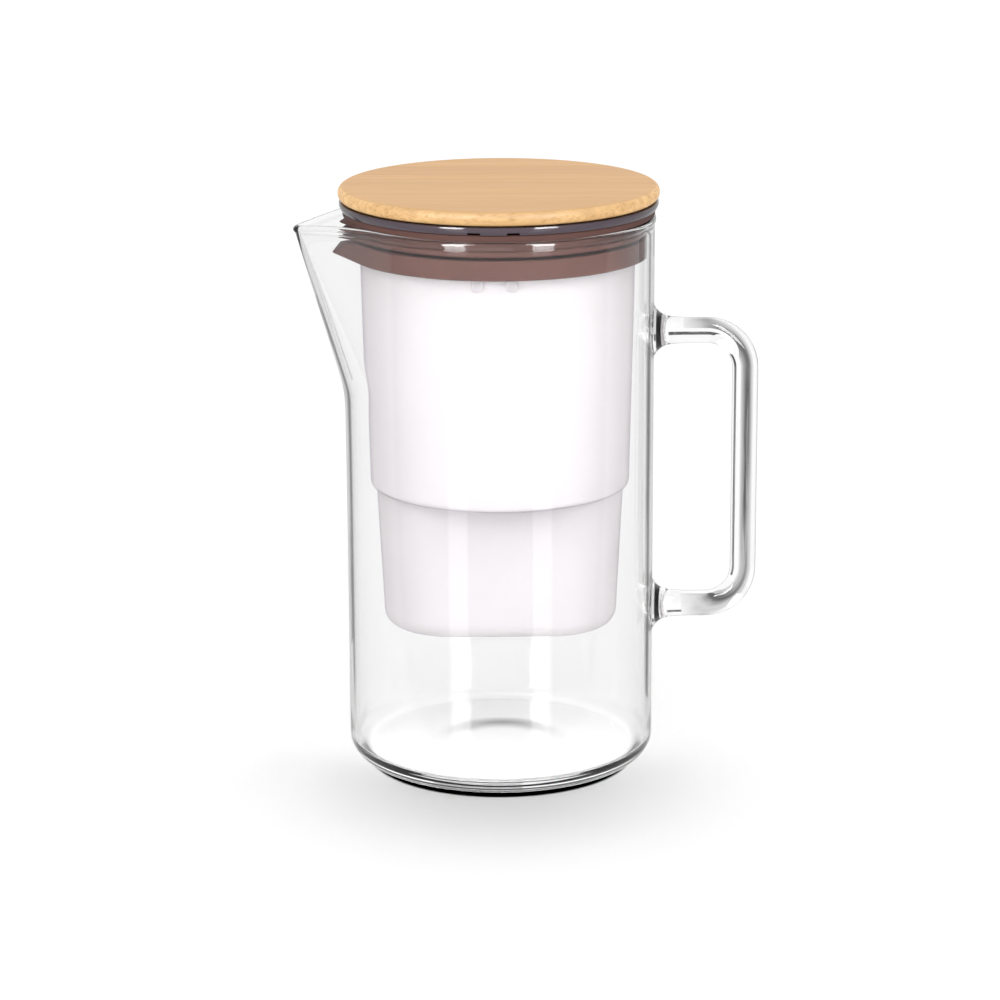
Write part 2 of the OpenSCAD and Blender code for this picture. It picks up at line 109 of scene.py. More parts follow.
def skin(name, points, ends):
    """Mesh through a grid of points in millimetres, rows by columns by xyz.

    Columns join up round the axis. With ends "loop" the last row joins the first one. With
    ends "poles" the first and the last row are one point each, closed by triangles.
    Faces point outwards when the columns turn left and the rows go up the outside.
    """
    rows, columns = points.shape[:2]
    flat = points.reshape(-1, 3)
    index = np.arange(rows * columns).reshape(rows, columns)
    if ends == "poles":
        flat = np.vstack([points[0].mean(axis=0)[None], flat[columns:-columns],
                          points[-1].mean(axis=0)[None]])
        index = index[1:-1] - columns + 1
    if ends == "loop":
        index = np.vstack([index, index[:1]])
    right = np.roll(index, -1, axis=1)
    faces = np.stack([index[:-1], right[:-1], right[1:], index[1:]], axis=-1).reshape(-1, 4).tolist()
    if ends == "poles":
        first = np.zeros(columns, int)
        last = np.full(columns, len(flat) - 1)
        faces += np.stack([first, right[0], index[0]], axis=-1).tolist()
        faces += np.stack([index[-1], right[-1], last], axis=-1).tolist()
    mesh = bpy.data.meshes.new(name)
    mesh.from_pydata((flat * MM).tolist(), [], faces)
    mesh.polygons.foreach_set("use_smooth", np.ones(len(mesh.polygons), bool))
    mesh.update()
    piece = bpy.data.objects.new(name, mesh)
    bpy.context.scene.collection.objects.link(piece)
    print(name, len(mesh.vertices), "points")
    return piece


def turned(radius, height, azimuth):
    """Grid of a turned shape: x is the radius times the cosine of the azimuth, y is the
    radius times its sine, and z is the height. Radius and height may change with azimuth."""
    radius, height, azimuth = np.broadcast_arrays(radius, height, azimuth[None, :])
    return np.stack([radius * np.cos(azimuth), radius * np.sin(azimuth), height], axis=-1)


def arc(centre_r, centre_z, radius, first, last, count):
    """Points of an arc in the profile plane, from the first to the last angle in degrees,
    where 0 points away from the axis and 90 points up."""
    angle = np.radians(np.linspace(first, last, count))
    return np.stack([centre_r + radius * np.cos(angle), centre_z + radius * np.sin(angle)], axis=-1)


def line(first, last, count):
    """Points along a straight part of a profile, without its last point."""
    share = np.linspace(0, 1, count, endpoint=False)[:, None]
    return (1 - share) * np.array(first, float) + share * np.array(last, float)


def smooth_step(value):
    """Rises from 0 to 1 with flat ends: three times the square minus twice the cube."""
    value = np.clip(value, 0, 1)
    return value * value * (3 - 2 * value)


def from_spout(azimuth):
    """Angle between an azimuth and the spout, which points to -X, always positive."""
    return np.abs((azimuth + 2 * np.pi) % (2 * np.pi) - np.pi)


def columns_with(steps, edges=(), edge_width=0.1):
    """Azimuths of the columns: an even row of steps, with a pair of columns close together at
    each edge in degrees where a shape changes suddenly."""
    even = np.linspace(0, 2 * np.pi, steps, endpoint=False)
    close = [np.radians(edge + side * edge_width / 2) for edge in edges for side in (-1, 1)]
    return np.unique(np.round(np.concatenate([even, np.array(close) % (2 * np.pi)]), 7))


def joined(tool, piece, others):
    """Joins other closed meshes to a piece, or cuts them out of it, and deletes them."""
    for other in others:
        modifier = piece.modifiers.new("join", "BOOLEAN")
        modifier.operation = tool
        modifier.solver = "EXACT"
        modifier.object = other
    graph = bpy.context.evaluated_depsgraph_get()
    mesh = bpy.data.meshes.new_from_object(piece.evaluated_get(graph))
    piece.modifiers.clear()
    piece.data = mesh
    for other in others:
        bpy.data.objects.remove(other)
    mesh.polygons.foreach_set("use_smooth", np.ones(len(mesh.polygons), bool))
    mesh.update()
    print(piece.name, tool.lower(), len(mesh.vertices), "points")


# %% [markdown]
# ## Colours and nodes
# A colour is written as the hex value that a colour picker shows, and one function turns
# it to the linear value that light is computed with. One more function adds a shader node
# with its settings and links. A material could be clicked together in the node editor, but
# written out it can be read, and every number can be named.

# %% Helpers for materials


def linear(hex_colour):
    """Linear colour of an sRGB hex value: a channel up to 0.04045 is divided by 12.92, and a
    higher one is raised to the power 2.4 after it is shifted by 0.055 and divided by 1.055."""
    channels = [int(hex_colour[i:i + 2], 16) / 255 for i in (1, 3, 5)]
    return [c / 12.92 if c <= 0.04045 else ((c + 0.055) / 1.055) ** 2.4 for c in channels] + [1]


def add_node(tree, kind, inputs=None, **settings):
    """Adds a node of a kind, named as Blender names it after ShaderNode, with its settings.
    Each input is a value, the output that feeds it, or a node, which stands for the first
    output that it has in use."""
    made = tree.nodes.new("ShaderNode" + kind)
    for name, value in settings.items():
        setattr(made, name, value)
    for name, value in (inputs or {}).items():
        if isinstance(value, bpy.types.Node):
            value = next(output for output in value.outputs if output.enabled)
        if isinstance(value, bpy.types.NodeSocket):
            tree.links.new(value, made.inputs[name])
        else:
            made.inputs[name].default_value = value
    return made


def new_material(name):
    """Empty node material, and its tree."""
    made = bpy.data.materials.new(name)
    made.use_nodes = True
    made.node_tree.nodes.clear()
    return made, made.node_tree


def shown(tree, shader):
    """Sends a shader to the material's output."""
    add_node(tree, "OutputMaterial", {"Surface": shader})


def per_metre(size_mm):
    """Noise scale for a pattern whose features are this many millimetres wide."""
    return 1 / (size_mm * MM)


def bell(tree, value, centre, width):
    """Bell curve: e to the power of minus the square of the distance to the centre over the
    width. It is 1 at the centre and nearly 0 beyond two widths."""
    moved = add_node(tree, "Math", {0: value, 1: centre}, operation="SUBTRACT")
    ratio = add_node(tree, "Math", {0: moved, 1: width}, operation="DIVIDE")
    square = add_node(tree, "Math", {0: ratio, 1: ratio}, operation="MULTIPLY")
    minus = add_node(tree, "Math", {0: square, 1: -1.0}, operation="MULTIPLY")
    return add_node(tree, "Math", {0: minus}, operation="EXPONENT")


def axis_distance(tree, split):
    """Distance from the upright axis: the root of the sum of the squares of X and Y."""
    level = add_node(tree, "CombineXYZ", {"X": split.outputs["X"], "Y": split.outputs["Y"]})
    return add_node(tree, "VectorMath", {0: level}, operation="LENGTH")


# %% [markdown]
# ## Borosilicate glass
# Lab-grade glass, blown and then fire polished, so its faces are mirror smooth and clear. It
# bends light with an index of 1.47. Seen flat on, it only reflects a few percent. Close to its
# edge, light passes through many millimetres of glass and picks up a grey tone, which draws
# the fine dark line that every glass has on a white ground. The very edge is light again. A
# volume would do this at the cost of noise, so here the tint is a bell curve of how flat
# the eye meets the outer face. The heel is left out, because the thick bottom gathers light.
# Lamps shine through to what is inside, because a plain glass shader would block them.

# %% Glass material
GLASS_IOR = 1.47
EDGE_LINE_AT = 0.765
EDGE_LINE_WIDTH = 0.03
LINE_LOW_Z = 8.0
LINE_FULL_Z = 40.0
OUTER_FACE_R = 61.0
glass, tree = new_material("borosilicate_glass_fire_polished")
facing = add_node(tree, "LayerWeight", {"Blend": 0.5})
edge = bell(tree, facing.outputs["Facing"], EDGE_LINE_AT, EDGE_LINE_WIDTH)
place = add_node(tree, "TexCoord")
split = add_node(tree, "SeparateXYZ", {"Vector": place.outputs["Object"]})
above_heel = add_node(tree, "MapRange", {
    "Value": split.outputs["Z"], "From Min": LINE_LOW_Z * MM, "From Max": LINE_FULL_Z * MM,
})
from_axis = axis_distance(tree, split)
outer = add_node(tree, "Math", {0: from_axis, 1: OUTER_FACE_R * MM}, operation="GREATER_THAN")
above = add_node(tree, "Math", {0: edge, 1: above_heel}, operation="MULTIPLY")
share = add_node(tree, "Math", {0: above, 1: outer}, operation="MULTIPLY")
tint = add_node(tree, "Mix", {
    "Factor": share, "A": linear("#FCFCFC"), "B": linear("#282828"),
}, data_type="RGBA")
clear = add_node(tree, "BsdfPrincipled", {
    "Base Color": tint, "Roughness": 0.0, "IOR": GLASS_IOR, "Transmission Weight": 1.0,
})
path = add_node(tree, "LightPath")
through = add_node(tree, "BsdfTransparent", {"Color": linear("#FEFEFE")})
mix = add_node(tree, "MixShader", {"Fac": path.outputs["Is Shadow Ray"], 1: clear, 2: through})
shown(tree, mix)

# %% [markdown]
# ## The jug
# The body is a tube of blown glass with a thick flat bottom, a hollow pressed into its
# underside, a rounded heel and a bead melted round the rim. While the glass is hot, the rim
# is pulled out to a V spout. Extruding a circle and pulling vertices would give a lumpy
# spout. As a function, the outline at each height is a circle and a small tip circle with
# the two lines that touch both. With height the tip moves out and gets smaller.

# %% Sizes of the jug
JUG_R = 62.5
WALL = 2.8
RIM_Z = 226.0
FLOOR_T = 6.0
HEEL_R = 9.3
INNER_HEEL_R = 3.5
BEAD_R = 1.75
BEAD_SINK = 0.15
HOLLOW_R = 30.0
HOLLOW_FLAT_R = 14.0
HOLLOW_H = 0.5
SPOUT_TIP_R = 4.0
SPOUT_LOW_Z = 155.0
SPOUT_DROP = 4.3
SPOUT_BLEND = 0.07
DROP_FROM_Z = 120.0
SPOUT_REACH = -cad_low.x / MM - JUG_R
BORE_R = JUG_R - WALL
TIP_CENTRE = JUG_R + SPOUT_REACH - SPOUT_TIP_R
print("spout reaches", round(SPOUT_REACH, 1), "mm past the wall")


def pulled_outline(angle, radius, centre, tip_r):
    """Radius of a circle that is pulled out to one side, at an angle from that side. The
    outline is the circle, a small tip circle whose middle lies at a distance from the
    axis, and the two lines that touch both. Beyond the touching angle it is the circle.
    Closer, it is the radius over the cosine of the angle left to the touching point, and
    at the tip it is the small circle."""
    touch = np.arccos(np.clip((radius - tip_r) / centre, -1, 1))
    tip_touch = np.arctan2(tip_r * np.sin(touch), centre + tip_r * np.cos(touch))
    straight = radius / np.cos(np.clip(touch - angle, 0, None))
    under_root = tip_r ** 2 - (centre * np.sin(angle)) ** 2
    rounded = centre * np.cos(angle) + np.sqrt(np.clip(under_root, 0, None))
    return np.where(angle > tip_touch, straight, rounded)


def spout_growth(height):
    """Share of the spout's full reach at a height: a straight line that starts softly, as
    the mean of a value and the root of its square plus a small square."""
    share = (height - SPOUT_LOW_Z) / (RIM_Z - BEAD_R - SPOUT_LOW_Z)
    soft = 0.5 * (share + np.sqrt(share ** 2 + SPOUT_BLEND ** 2))
    full = 0.5 * (1 + math.sqrt(1 + SPOUT_BLEND ** 2))
    return np.clip(soft / full, 0, 1)


# %% Body of the jug
TIP_EDGE = 5
SPOUT_EDGE = 47
DENSE_FROM_Z = 110.0
NEAR_WALL = 0.5
fine = np.radians(np.arange(-TIP_EDGE, TIP_EDGE, 0.25))
middle = np.radians(np.arange(TIP_EDGE, SPOUT_EDGE, 0.75))
coarse = np.radians(np.linspace(SPOUT_EDGE, 360 - SPOUT_EDGE, 180, endpoint=False))
jug_azimuth = np.pi + np.concatenate([fine, middle, coarse, -middle[::-1]])

hollow_r = np.linspace(0, HOLLOW_R, 24)[:, None]
hollow_z = HOLLOW_H * (1 - smooth_step((hollow_r - HOLLOW_FLAT_R) / (HOLLOW_R - HOLLOW_FLAT_R)))
bead_c = BORE_R + BEAD_R - BEAD_SINK
bead_low = -math.degrees(math.acos((JUG_R - bead_c) / BEAD_R))
bead_high = 180 + math.degrees(math.acos((bead_c - BORE_R) / BEAD_R))
bead_z = RIM_Z - BEAD_R
wall_top = bead_z + BEAD_R * math.sin(math.radians(bead_low))
bore_top = bead_z + BEAD_R * math.sin(math.radians(bead_high))
profile = np.vstack([
    np.hstack([hollow_r, hollow_z]),
    line((HOLLOW_R + 1, 0), (JUG_R - HEEL_R, 0), 6),
    arc(JUG_R - HEEL_R, HEEL_R, HEEL_R, -90, 0, 16),
    line((JUG_R, HEEL_R + 3), (JUG_R, DENSE_FROM_Z), 12),
    line((JUG_R, DENSE_FROM_Z), (JUG_R, wall_top), 44),
    arc(bead_c, bead_z, BEAD_R, bead_low, bead_high, 20),
    line((BORE_R, bore_top - 1), (BORE_R, DENSE_FROM_Z), 44),
    line((BORE_R, DENSE_FROM_Z), (BORE_R, FLOOR_T + INNER_HEEL_R + 3), 12),
    arc(BORE_R - INNER_HEEL_R, FLOOR_T + INNER_HEEL_R, INNER_HEEL_R, 0, -90, 14),
    line((BORE_R - INNER_HEEL_R - 2, FLOOR_T), (0, FLOOR_T), 8),
    [[0, FLOOR_T]],
])
base_r = profile[:, :1]
base_z = profile[:, 1:]
angle = from_spout(jug_azimuth)[None, :]
growth = spout_growth(base_z)
on_wall = base_r > BORE_R - NEAR_WALL
tip_r = base_r - (JUG_R - SPOUT_TIP_R) * growth
radius = np.where(on_wall, pulled_outline(angle, base_r, TIP_CENTRE * growth, tip_r), base_r)
reach_share = (pulled_outline(angle, JUG_R, TIP_CENTRE, SPOUT_TIP_R) - JUG_R) / SPOUT_REACH
drop = SPOUT_DROP * reach_share * smooth_step((base_z - DROP_FROM_Z) / (RIM_Z - DROP_FROM_Z))
jug = skin("jug", turned(radius, base_z - drop, jug_azimuth), "poles")

# %% [markdown]
# ## The handle
# A rod of solid glass, bent to a D in a flame and welded to the wall, where the soft glass
# flares out. A curve with a bevel makes a rod, but not the flare, nor a foot that follows
# the round wall. So a ring of points is carried along the D, its radius grows towards the
# wall, and close to the wall the ring bends with it. Then the rod is joined to the body, because
# in the real jug no surface is left between them, and light would show one.

# %% Handle
ROD_R = 5.3
GRIP_REACH = 37.1
ROD_X = JUG_R + GRIP_REACH
ARM_TOP_Z = RIM_Z - 48
ARM_LOW_Z = 63.0
BEND_R = 15.6
FLARE_R = 5.4
FLARE_L = 2.7
FOOT_DEPTH = 1.4
FOOT_BLEND = 6.0
CROWDING = 1.6
FAR_AWAY = 99.0


def rod_ring(centre, along, ring_r):
    """Rings round a path: the centre plus the radius times the cosine along Y and the sine
    along the direction that is square to both Y and the path."""
    turn = np.linspace(0, 2 * np.pi, 48, endpoint=False)
    sideways = np.array([0.0, 1.0, 0.0])
    upwards = np.cross(along, sideways)
    ring = np.cos(turn)[None, :, None] * sideways + np.sin(turn)[None, :, None] * upwards[:, None, :]
    return centre[:, None, :] + ring_r[:, None, None] * ring


def rod_path():
    """Centre line of the D from the upper weld to the lower one, and its direction: an arm, a
    quarter turn, the grip, a quarter turn and an arm. Points crowd together at the wall."""
    share = np.linspace(0, 1, 26) ** CROWDING
    arm = JUG_R - FOOT_DEPTH + (ROD_X - BEND_R - JUG_R + FOOT_DEPTH) * share
    bend = np.radians(np.linspace(90, 0, 18))[1:]
    centre_x = ROD_X - BEND_R
    upper_arm = np.stack([arm, 0 * arm, 0 * arm + ARM_TOP_Z], axis=-1)
    upper_bend = np.stack([centre_x + BEND_R * np.cos(bend), 0 * bend,
                           ARM_TOP_Z - BEND_R + BEND_R * np.sin(bend)], axis=-1)
    grip_z = np.linspace(ARM_TOP_Z - BEND_R, ARM_LOW_Z + BEND_R, 20)[1:-1]
    grip = np.stack([0 * grip_z + ROD_X, 0 * grip_z, grip_z], axis=-1)
    mirror = np.array([1, 1, -1])
    shift = np.array([0, 0, ARM_TOP_Z + ARM_LOW_Z])
    centre = np.vstack([upper_arm, upper_bend, grip, shift + mirror * upper_bend[::-1],
                        shift + mirror * upper_arm[::-1]])
    along = np.gradient(centre, axis=0)
    along[:3] = [1, 0, 0]
    along[-3:] = [-1, 0, 0]
    return centre, along / np.linalg.norm(along, axis=1)[:, None]


centre, along = rod_path()
from_wall = np.where(np.abs(along[:, 0]) > 0.99, centre[:, 0] - JUG_R, FAR_AWAY)
flare = FLARE_R * np.exp(-np.clip(from_wall, 0, None) / FLARE_L)
rings = rod_ring(centre, along, ROD_R + flare)
wall_bend = np.exp(-(np.clip(from_wall, 0, None) / FOOT_BLEND) ** 2)[:, None]
rings[..., 0] -= wall_bend * (JUG_R - np.sqrt(JUG_R ** 2 - rings[..., 1] ** 2))
caps = [np.repeat(rings[end].mean(axis=0)[None, None], rings.shape[1], axis=1) for end in (0, -1)]
handle = skin("handle_rod", np.concatenate([caps[0], rings, caps[1]]), "poles")
joined("UNION", jug, [handle])
jug.data.materials.clear()
jug.data.materials.append(glass)
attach(jug, "jug")
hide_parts("jug_glass", "handle")

# %% [markdown]
# ## Silicone
# The gasket is compression-moulded food-grade silicone in a warm brown. It leaves the mould
# with a fine matt skin that is a little dusty to the eye: a wide soft shine, and no mirror. A
# faint unevenness of tone keeps it from looking like paint. Where the eye meets it at a slant,
# its colour is darkened as painted shade. Hardly any light gets out of the narrow grooves
# between its bands, so they are painted nearly black as shade.

# %% Silicone material
DARK_FROM_R = 58.2
DARK_FULL_R = 57.4
DARK_FROM_Z = 220.5
DARK_FULL_Z = 220.0
silicone, tree = new_material("brown_silicone_rubber")
place = add_node(tree, "TexCoord")
cloud = add_node(tree, "TexNoise", {
    "Vector": place.outputs["Object"], "Scale": per_metre(14), "Detail": 3.0,
})
grain = add_node(tree, "TexNoise", {
    "Vector": place.outputs["Object"], "Scale": per_metre(0.5), "Detail": 2.0,
})
tone = add_node(tree, "Mix", {
    "Factor": cloud, "A": linear("#62413A"), "B": linear("#69463F"),
}, data_type="RGBA")
split = add_node(tree, "SeparateXYZ", {"Vector": place.outputs["Object"]})
from_axis = axis_distance(tree, split)
# painted shade: the narrow grooves between the bands are darkened in the colour
inside = add_node(tree, "MapRange", {
    "Value": from_axis, "From Min": DARK_FROM_R * MM, "From Max": DARK_FULL_R * MM,
})
low_down = add_node(tree, "MapRange", {
    "Value": split.outputs["Z"], "From Min": DARK_FROM_Z * MM, "From Max": DARK_FULL_Z * MM,
})
groove_shade = add_node(tree, "Math", {0: inside, 1: low_down}, operation="MULTIPLY")
shaded = add_node(tree, "Mix", {"Factor": groove_shade, "A": tone, "B": linear("#241613")}, data_type="RGBA")
rough = add_node(tree, "MapRange", {"Value": cloud, "To Min": 0.55, "To Max": 0.66})
bump = add_node(tree, "Bump", {"Height": grain, "Strength": 0.15, "Distance": 0.05 * MM})
# painted shade: where the eye meets the gasket at a slant, its colour is darkened
facing = add_node(tree, "LayerWeight", {"Blend": 0.5})
slant_shade_share = add_node(tree, "MapRange", {
    "Value": facing.outputs["Facing"], "From Min": 0.35, "From Max": 0.95, "To Max": 0.6,
})
painted_shade = add_node(tree, "Mix", {
    "Factor": slant_shade_share, "A": shaded, "B": linear("#33201C"),
}, data_type="RGBA")
rubber = add_node(tree, "BsdfPrincipled", {
    "Base Color": painted_shade, "Roughness": rough, "IOR": 1.41, "Specular IOR Level": 0.3, "Normal": bump,
})
shown(tree, rubber)

# %% [markdown]
# ## The neck gasket
# A moulded ring with a lip that rests on the glass rim and three bands that seal the
# bore, each a little smaller than the one below. Towards the spout each band has a beak
# that steers the pour. The profile is a closed loop of points. A beak has the same outline
# as the spout, and its upper face falls towards its tip.

# %% Gasket
NECK_R = 54.6
SEAL_R = 59.35
GROOVE_R = 56.85
LIP_Z = RIM_Z + 0.3
LIP_T = 2.6
LIP_R = 62.6
GASKET_Z = 210.45
TAB_W = 4.5
TAB_T = 1.2
TAB_GAP = 0.1
TAB_TURN = -1.85
TAB_PITCH = 13.8
TAB_ANGLES = [side + TAB_TURN + half * TAB_PITCH for side in (-90, 90) for half in (-0.5, 0.5)]
BAND_EDGE = 0.35


def tab_edges(width, radius):
    """Azimuths in degrees where the snap tabs begin and end."""
    half = math.degrees(width / 2 / radius)
    return [a + side * half for a in TAB_ANGLES for side in (-1, 1)]


def at_tab(azimuth, width, radius):
    """1 where a snap tab passes and 0 elsewhere."""
    turns = np.degrees(azimuth)[:, None] - np.array(TAB_ANGLES)[None, :]
    away = np.abs((turns + 180) % 360 - 180).min(axis=1)
    return (away < math.degrees(width / 2 / radius)).astype(float)


# Each band: lower and upper height above the gasket's foot, radius, reach, radius and drop
# of its beak. The drop is how far the beak's upper face falls towards its tip.
bands = [
    (0.0, 7.9, SEAL_R, 6.4, 0.5, 7.0),
    (8.95, 11.65, SEAL_R - 0.9, 4.9, 2.2, 1.6),
    (12.25, 15.2, SEAL_R - 1.8, 6.4, 0.5, 2.3),
]
rows = []
for low, high, band_r, reach, tip_r, drop in bands:
    low += GASKET_Z
    high += GASKET_Z
    rows += [
        (GROOVE_R, low, 0, 0, 0),
        (band_r - BAND_EDGE, low, reach, tip_r, 0),
        (band_r, low + BAND_EDGE, reach, tip_r, 0),
        (band_r, (low + high) / 2, reach, tip_r, 0.5 * drop),
        (band_r, high - BAND_EDGE, reach, tip_r, drop),
        (band_r - BAND_EDGE, high, reach, tip_r, drop),
        (GROOVE_R, high, 0, 0, 0),
    ]
lip_top = LIP_Z + LIP_T
plain = [
    (GROOVE_R, LIP_Z),
    (LIP_R - BAND_EDGE, LIP_Z),
    (LIP_R, LIP_Z + BAND_EDGE),
    (LIP_R, lip_top - BAND_EDGE),
    (LIP_R - BAND_EDGE, lip_top),
    (NECK_R, lip_top),
    (NECK_R, (lip_top + GASKET_Z) / 2),
    (NECK_R, GASKET_Z),
]
rows += [(row_r, row_z, 0, 0, 0) for row_r, row_z in plain]
base_r, base_z, reach, tip_r, drop = [column[:, None] for column in np.array(rows).T]
gasket_azimuth = columns_with(360, tab_edges(TAB_W + 2 * TAB_GAP, NECK_R))
angle = from_spout(gasket_azimuth)[None, :]
beaked = pulled_outline(angle, base_r, base_r + reach - tip_r, tip_r)
outline = np.where(reach > 0, beaked, base_r)
slots = at_tab(gasket_azimuth, TAB_W + 2 * TAB_GAP, NECK_R)[None, :]
outline = np.where(base_r == NECK_R, NECK_R + (TAB_T + TAB_GAP) * slots, outline)
share = np.where(reach > 0, (outline - base_r) / np.maximum(reach, 0.1), 0)
height = base_z - drop * share
gasket = skin("neck_gasket_skin", turned(outline, height, gasket_azimuth), "loop")
gasket.data.set_sharp_from_angle(angle=math.radians(40))
gasket.data.materials.append(silicone)
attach(gasket, "funnel")
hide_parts("neck_gasket")

# %% [markdown]
# ## Smoked plastic
# The collar is injection-moulded SAN, a hard clear plastic, with a little violet-grey dye. It
# is polished like the mould, so it has sharp reflections. The thick ring looks nearly black,
# and the thin snap tabs below the gasket are almost clear.

# %% Smoked plastic material
THIN_FROM_Z = 214.0
THIN_FULL_Z = 210.0
smoked, tree = new_material("smoked_san_moulded")
facing = add_node(tree, "LayerWeight", {"Blend": 0.4})
dye = add_node(tree, "Mix", {
    "Factor": facing.outputs["Facing"], "A": linear("#6E5F6A"), "B": linear("#2E2832"),
}, data_type="RGBA")
place = add_node(tree, "TexCoord")
split = add_node(tree, "SeparateXYZ", {"Vector": place.outputs["Object"]})
thin = add_node(tree, "MapRange", {
    "Value": split.outputs["Z"], "From Min": THIN_FROM_Z * MM, "From Max": THIN_FULL_Z * MM,
})
shade = add_node(tree, "Mix", {"Factor": thin, "A": dye, "B": linear("#F1ECEF")}, data_type="RGBA")
flow = add_node(tree, "TexNoise", {
    "Vector": place.outputs["Object"], "Scale": per_metre(9), "Detail": 2.0,
})
rough = add_node(tree, "MapRange", {"Value": flow, "To Min": 0.05, "To Max": 0.12})
plastic = add_node(tree, "BsdfPrincipled", {
    "Base Color": shade, "Roughness": rough, "IOR": 1.57, "Transmission Weight": 0.35,
})
shown(tree, plastic)

# %% [markdown]
# ## The collar
# A flat ring that lies on the gasket, with a skirt inside the funnel and four snap tabs that
# hang down outside it and hook into its wall. Above each tab the ring's lower edge has a
# small notch, where the mould core came out. The ring is turned from a closed profile, and
# the notches lift its lower points for a few degrees. A tab is a thin plate with a round
# end, wrapped on the funnel's cylinder.

# %% Collar
COLLAR_Z = LIP_Z + LIP_T
COLLAR_T = 3.2
COLLAR_R = 64.0
SKIRT_R = 52.5
MOUTH_R = 51.0
SKIRT_H = 9.0
NOTCH_H = 0.8
NOTCH_R = NECK_R + 4
SOFT = 0.3
CHAMFER = 0.7
top_z = COLLAR_Z + COLLAR_T
profile = np.array([
    (MOUTH_R + SOFT, COLLAR_Z - SKIRT_H, 0),
    (SKIRT_R - SOFT, COLLAR_Z - SKIRT_H, 0),
    (SKIRT_R, COLLAR_Z - SKIRT_H + SOFT, 0),
    (SKIRT_R, COLLAR_Z - SOFT, 0),
    (SKIRT_R + SOFT, COLLAR_Z, 0),
    (NECK_R + TAB_T, COLLAR_Z, 0),
    (NECK_R + TAB_T + TAB_GAP, COLLAR_Z, 1),
    (COLLAR_R - CHAMFER - SOFT, COLLAR_Z, 1),
    (COLLAR_R - CHAMFER, COLLAR_Z + 0.1, 1),
    (COLLAR_R - CHAMFER / 2, COLLAR_Z + COLLAR_T / 4, 0.3),
    (COLLAR_R, COLLAR_Z + COLLAR_T / 2, 0),
    (COLLAR_R, top_z - 2 * SOFT, 0),
    (COLLAR_R - SOFT / 2, top_z - SOFT / 2, 0),
    (COLLAR_R - 2 * SOFT, top_z, 0),
    (MOUTH_R + 2 * SOFT, top_z, 0),
    (MOUTH_R + SOFT / 2, top_z - SOFT / 2, 0),
    (MOUTH_R, top_z - 2 * SOFT, 0),
    (MOUTH_R, COLLAR_Z - SKIRT_H + SOFT, 0),
])
collar_azimuth = columns_with(360, tab_edges(TAB_W, NOTCH_R))
lift = NOTCH_H * at_tab(collar_azimuth, TAB_W, NOTCH_R)[None, :] * profile[:, 2:3]
collar = skin("collar_ring", turned(profile[:, 0:1], profile[:, 1:2] + lift, collar_azimuth), "loop")

TAB_LOW_Z = GASKET_Z - 5
TAB_END_R = 1.4
TAB_OFF = 0.02
STRAIGHTNESS = 8


def snap_tab(centre_angle):
    """Plate on a cylinder. Its outline is a rectangle with round corners, given by an angle
    round its middle: the cosine and the sine are stretched and clipped, which makes straight
    sides, and a small circle is added. Rows go from the outer face over the edge to the
    inner one."""
    turn = np.linspace(0, 2 * np.pi, 48, endpoint=False)
    half_w = TAB_W / 2
    half_h = (COLLAR_Z - TAB_LOW_Z) / 2
    across = np.clip(np.cos(turn) * STRAIGHTNESS, -1, 1) * (half_w - TAB_END_R)
    up = np.clip(np.sin(turn) * STRAIGHTNESS, -1, 1) * (half_h - TAB_END_R)
    across = across + TAB_END_R * np.cos(turn)
    up = up + TAB_END_R * np.sin(turn)
    inset = np.array([0, 0.94, 1, 1, 0.94, 0])[:, None]
    depth = np.array([TAB_T, TAB_T, TAB_T - 0.15, 0.15, 0, 0])[:, None]
    radius = NECK_R + TAB_OFF + depth
    azimuth = math.radians(centre_angle) + across[None, :] * inset / NECK_R
    height = COLLAR_Z - half_h + up[None, :] * inset
    radius = np.broadcast_to(radius, azimuth.shape)
    points = np.stack([radius * np.cos(azimuth), radius * np.sin(azimuth), height], axis=-1)
    return skin("tab", points, "poles")


tabs = [snap_tab(a) for a in TAB_ANGLES]
joined("UNION", collar, tabs)
collar.data.set_sharp_from_angle(angle=math.radians(35))
collar.data.materials.clear()
collar.data.materials.append(smoked)
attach(collar, "funnel")
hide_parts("collar")

# %% [markdown]
# ## Frosted plastic
# The funnel is moulded from a clear plastic in a sandblasted mould, so its skin scatters
# light and hides the cartridge: it looks like milk glass with a breath of pink. The cup
# is a little darker than the hopper. Towards
# its sides the eye looks through more plastic, and the tone turns to a violet grey. Along
# the step, where its round edge turns under, a grey line of painted shade is darkened into the colour.
# It is a matt surface, with part of the light coming through from behind.

# %% Frosted plastic material
CUP_TONE_FROM_Z = 117.0
CUP_TONE_FULL_Z = 115.0
STEP_SHADE_Z = 115.9
STEP_SHADE_W = 0.8
STEP_SHADE_SHARE = 0.45
GLOW_SHARE = 0.3
frosted, tree = new_material("frosted_polypropylene")
facing = add_node(tree, "LayerWeight", {"Blend": 0.5})
edge = add_node(tree, "MapRange", {
    "Value": facing.outputs["Facing"], "From Min": 0.7, "From Max": 1.0,
}, interpolation_type="SMOOTHSTEP")
place = add_node(tree, "TexCoord")
split = add_node(tree, "SeparateXYZ", {"Vector": place.outputs["Object"]})
in_cup = add_node(tree, "MapRange", {
    "Value": split.outputs["Z"], "From Min": CUP_TONE_FROM_Z * MM, "From Max": CUP_TONE_FULL_Z * MM,
})
flat_on = add_node(tree, "Mix", {
    "Factor": in_cup, "A": linear("#FCF8FA"), "B": linear("#F9F5F7"),
}, data_type="RGBA")
milk = add_node(tree, "Mix", {"Factor": edge, "A": flat_on, "B": linear("#DAD3DB")}, data_type="RGBA")
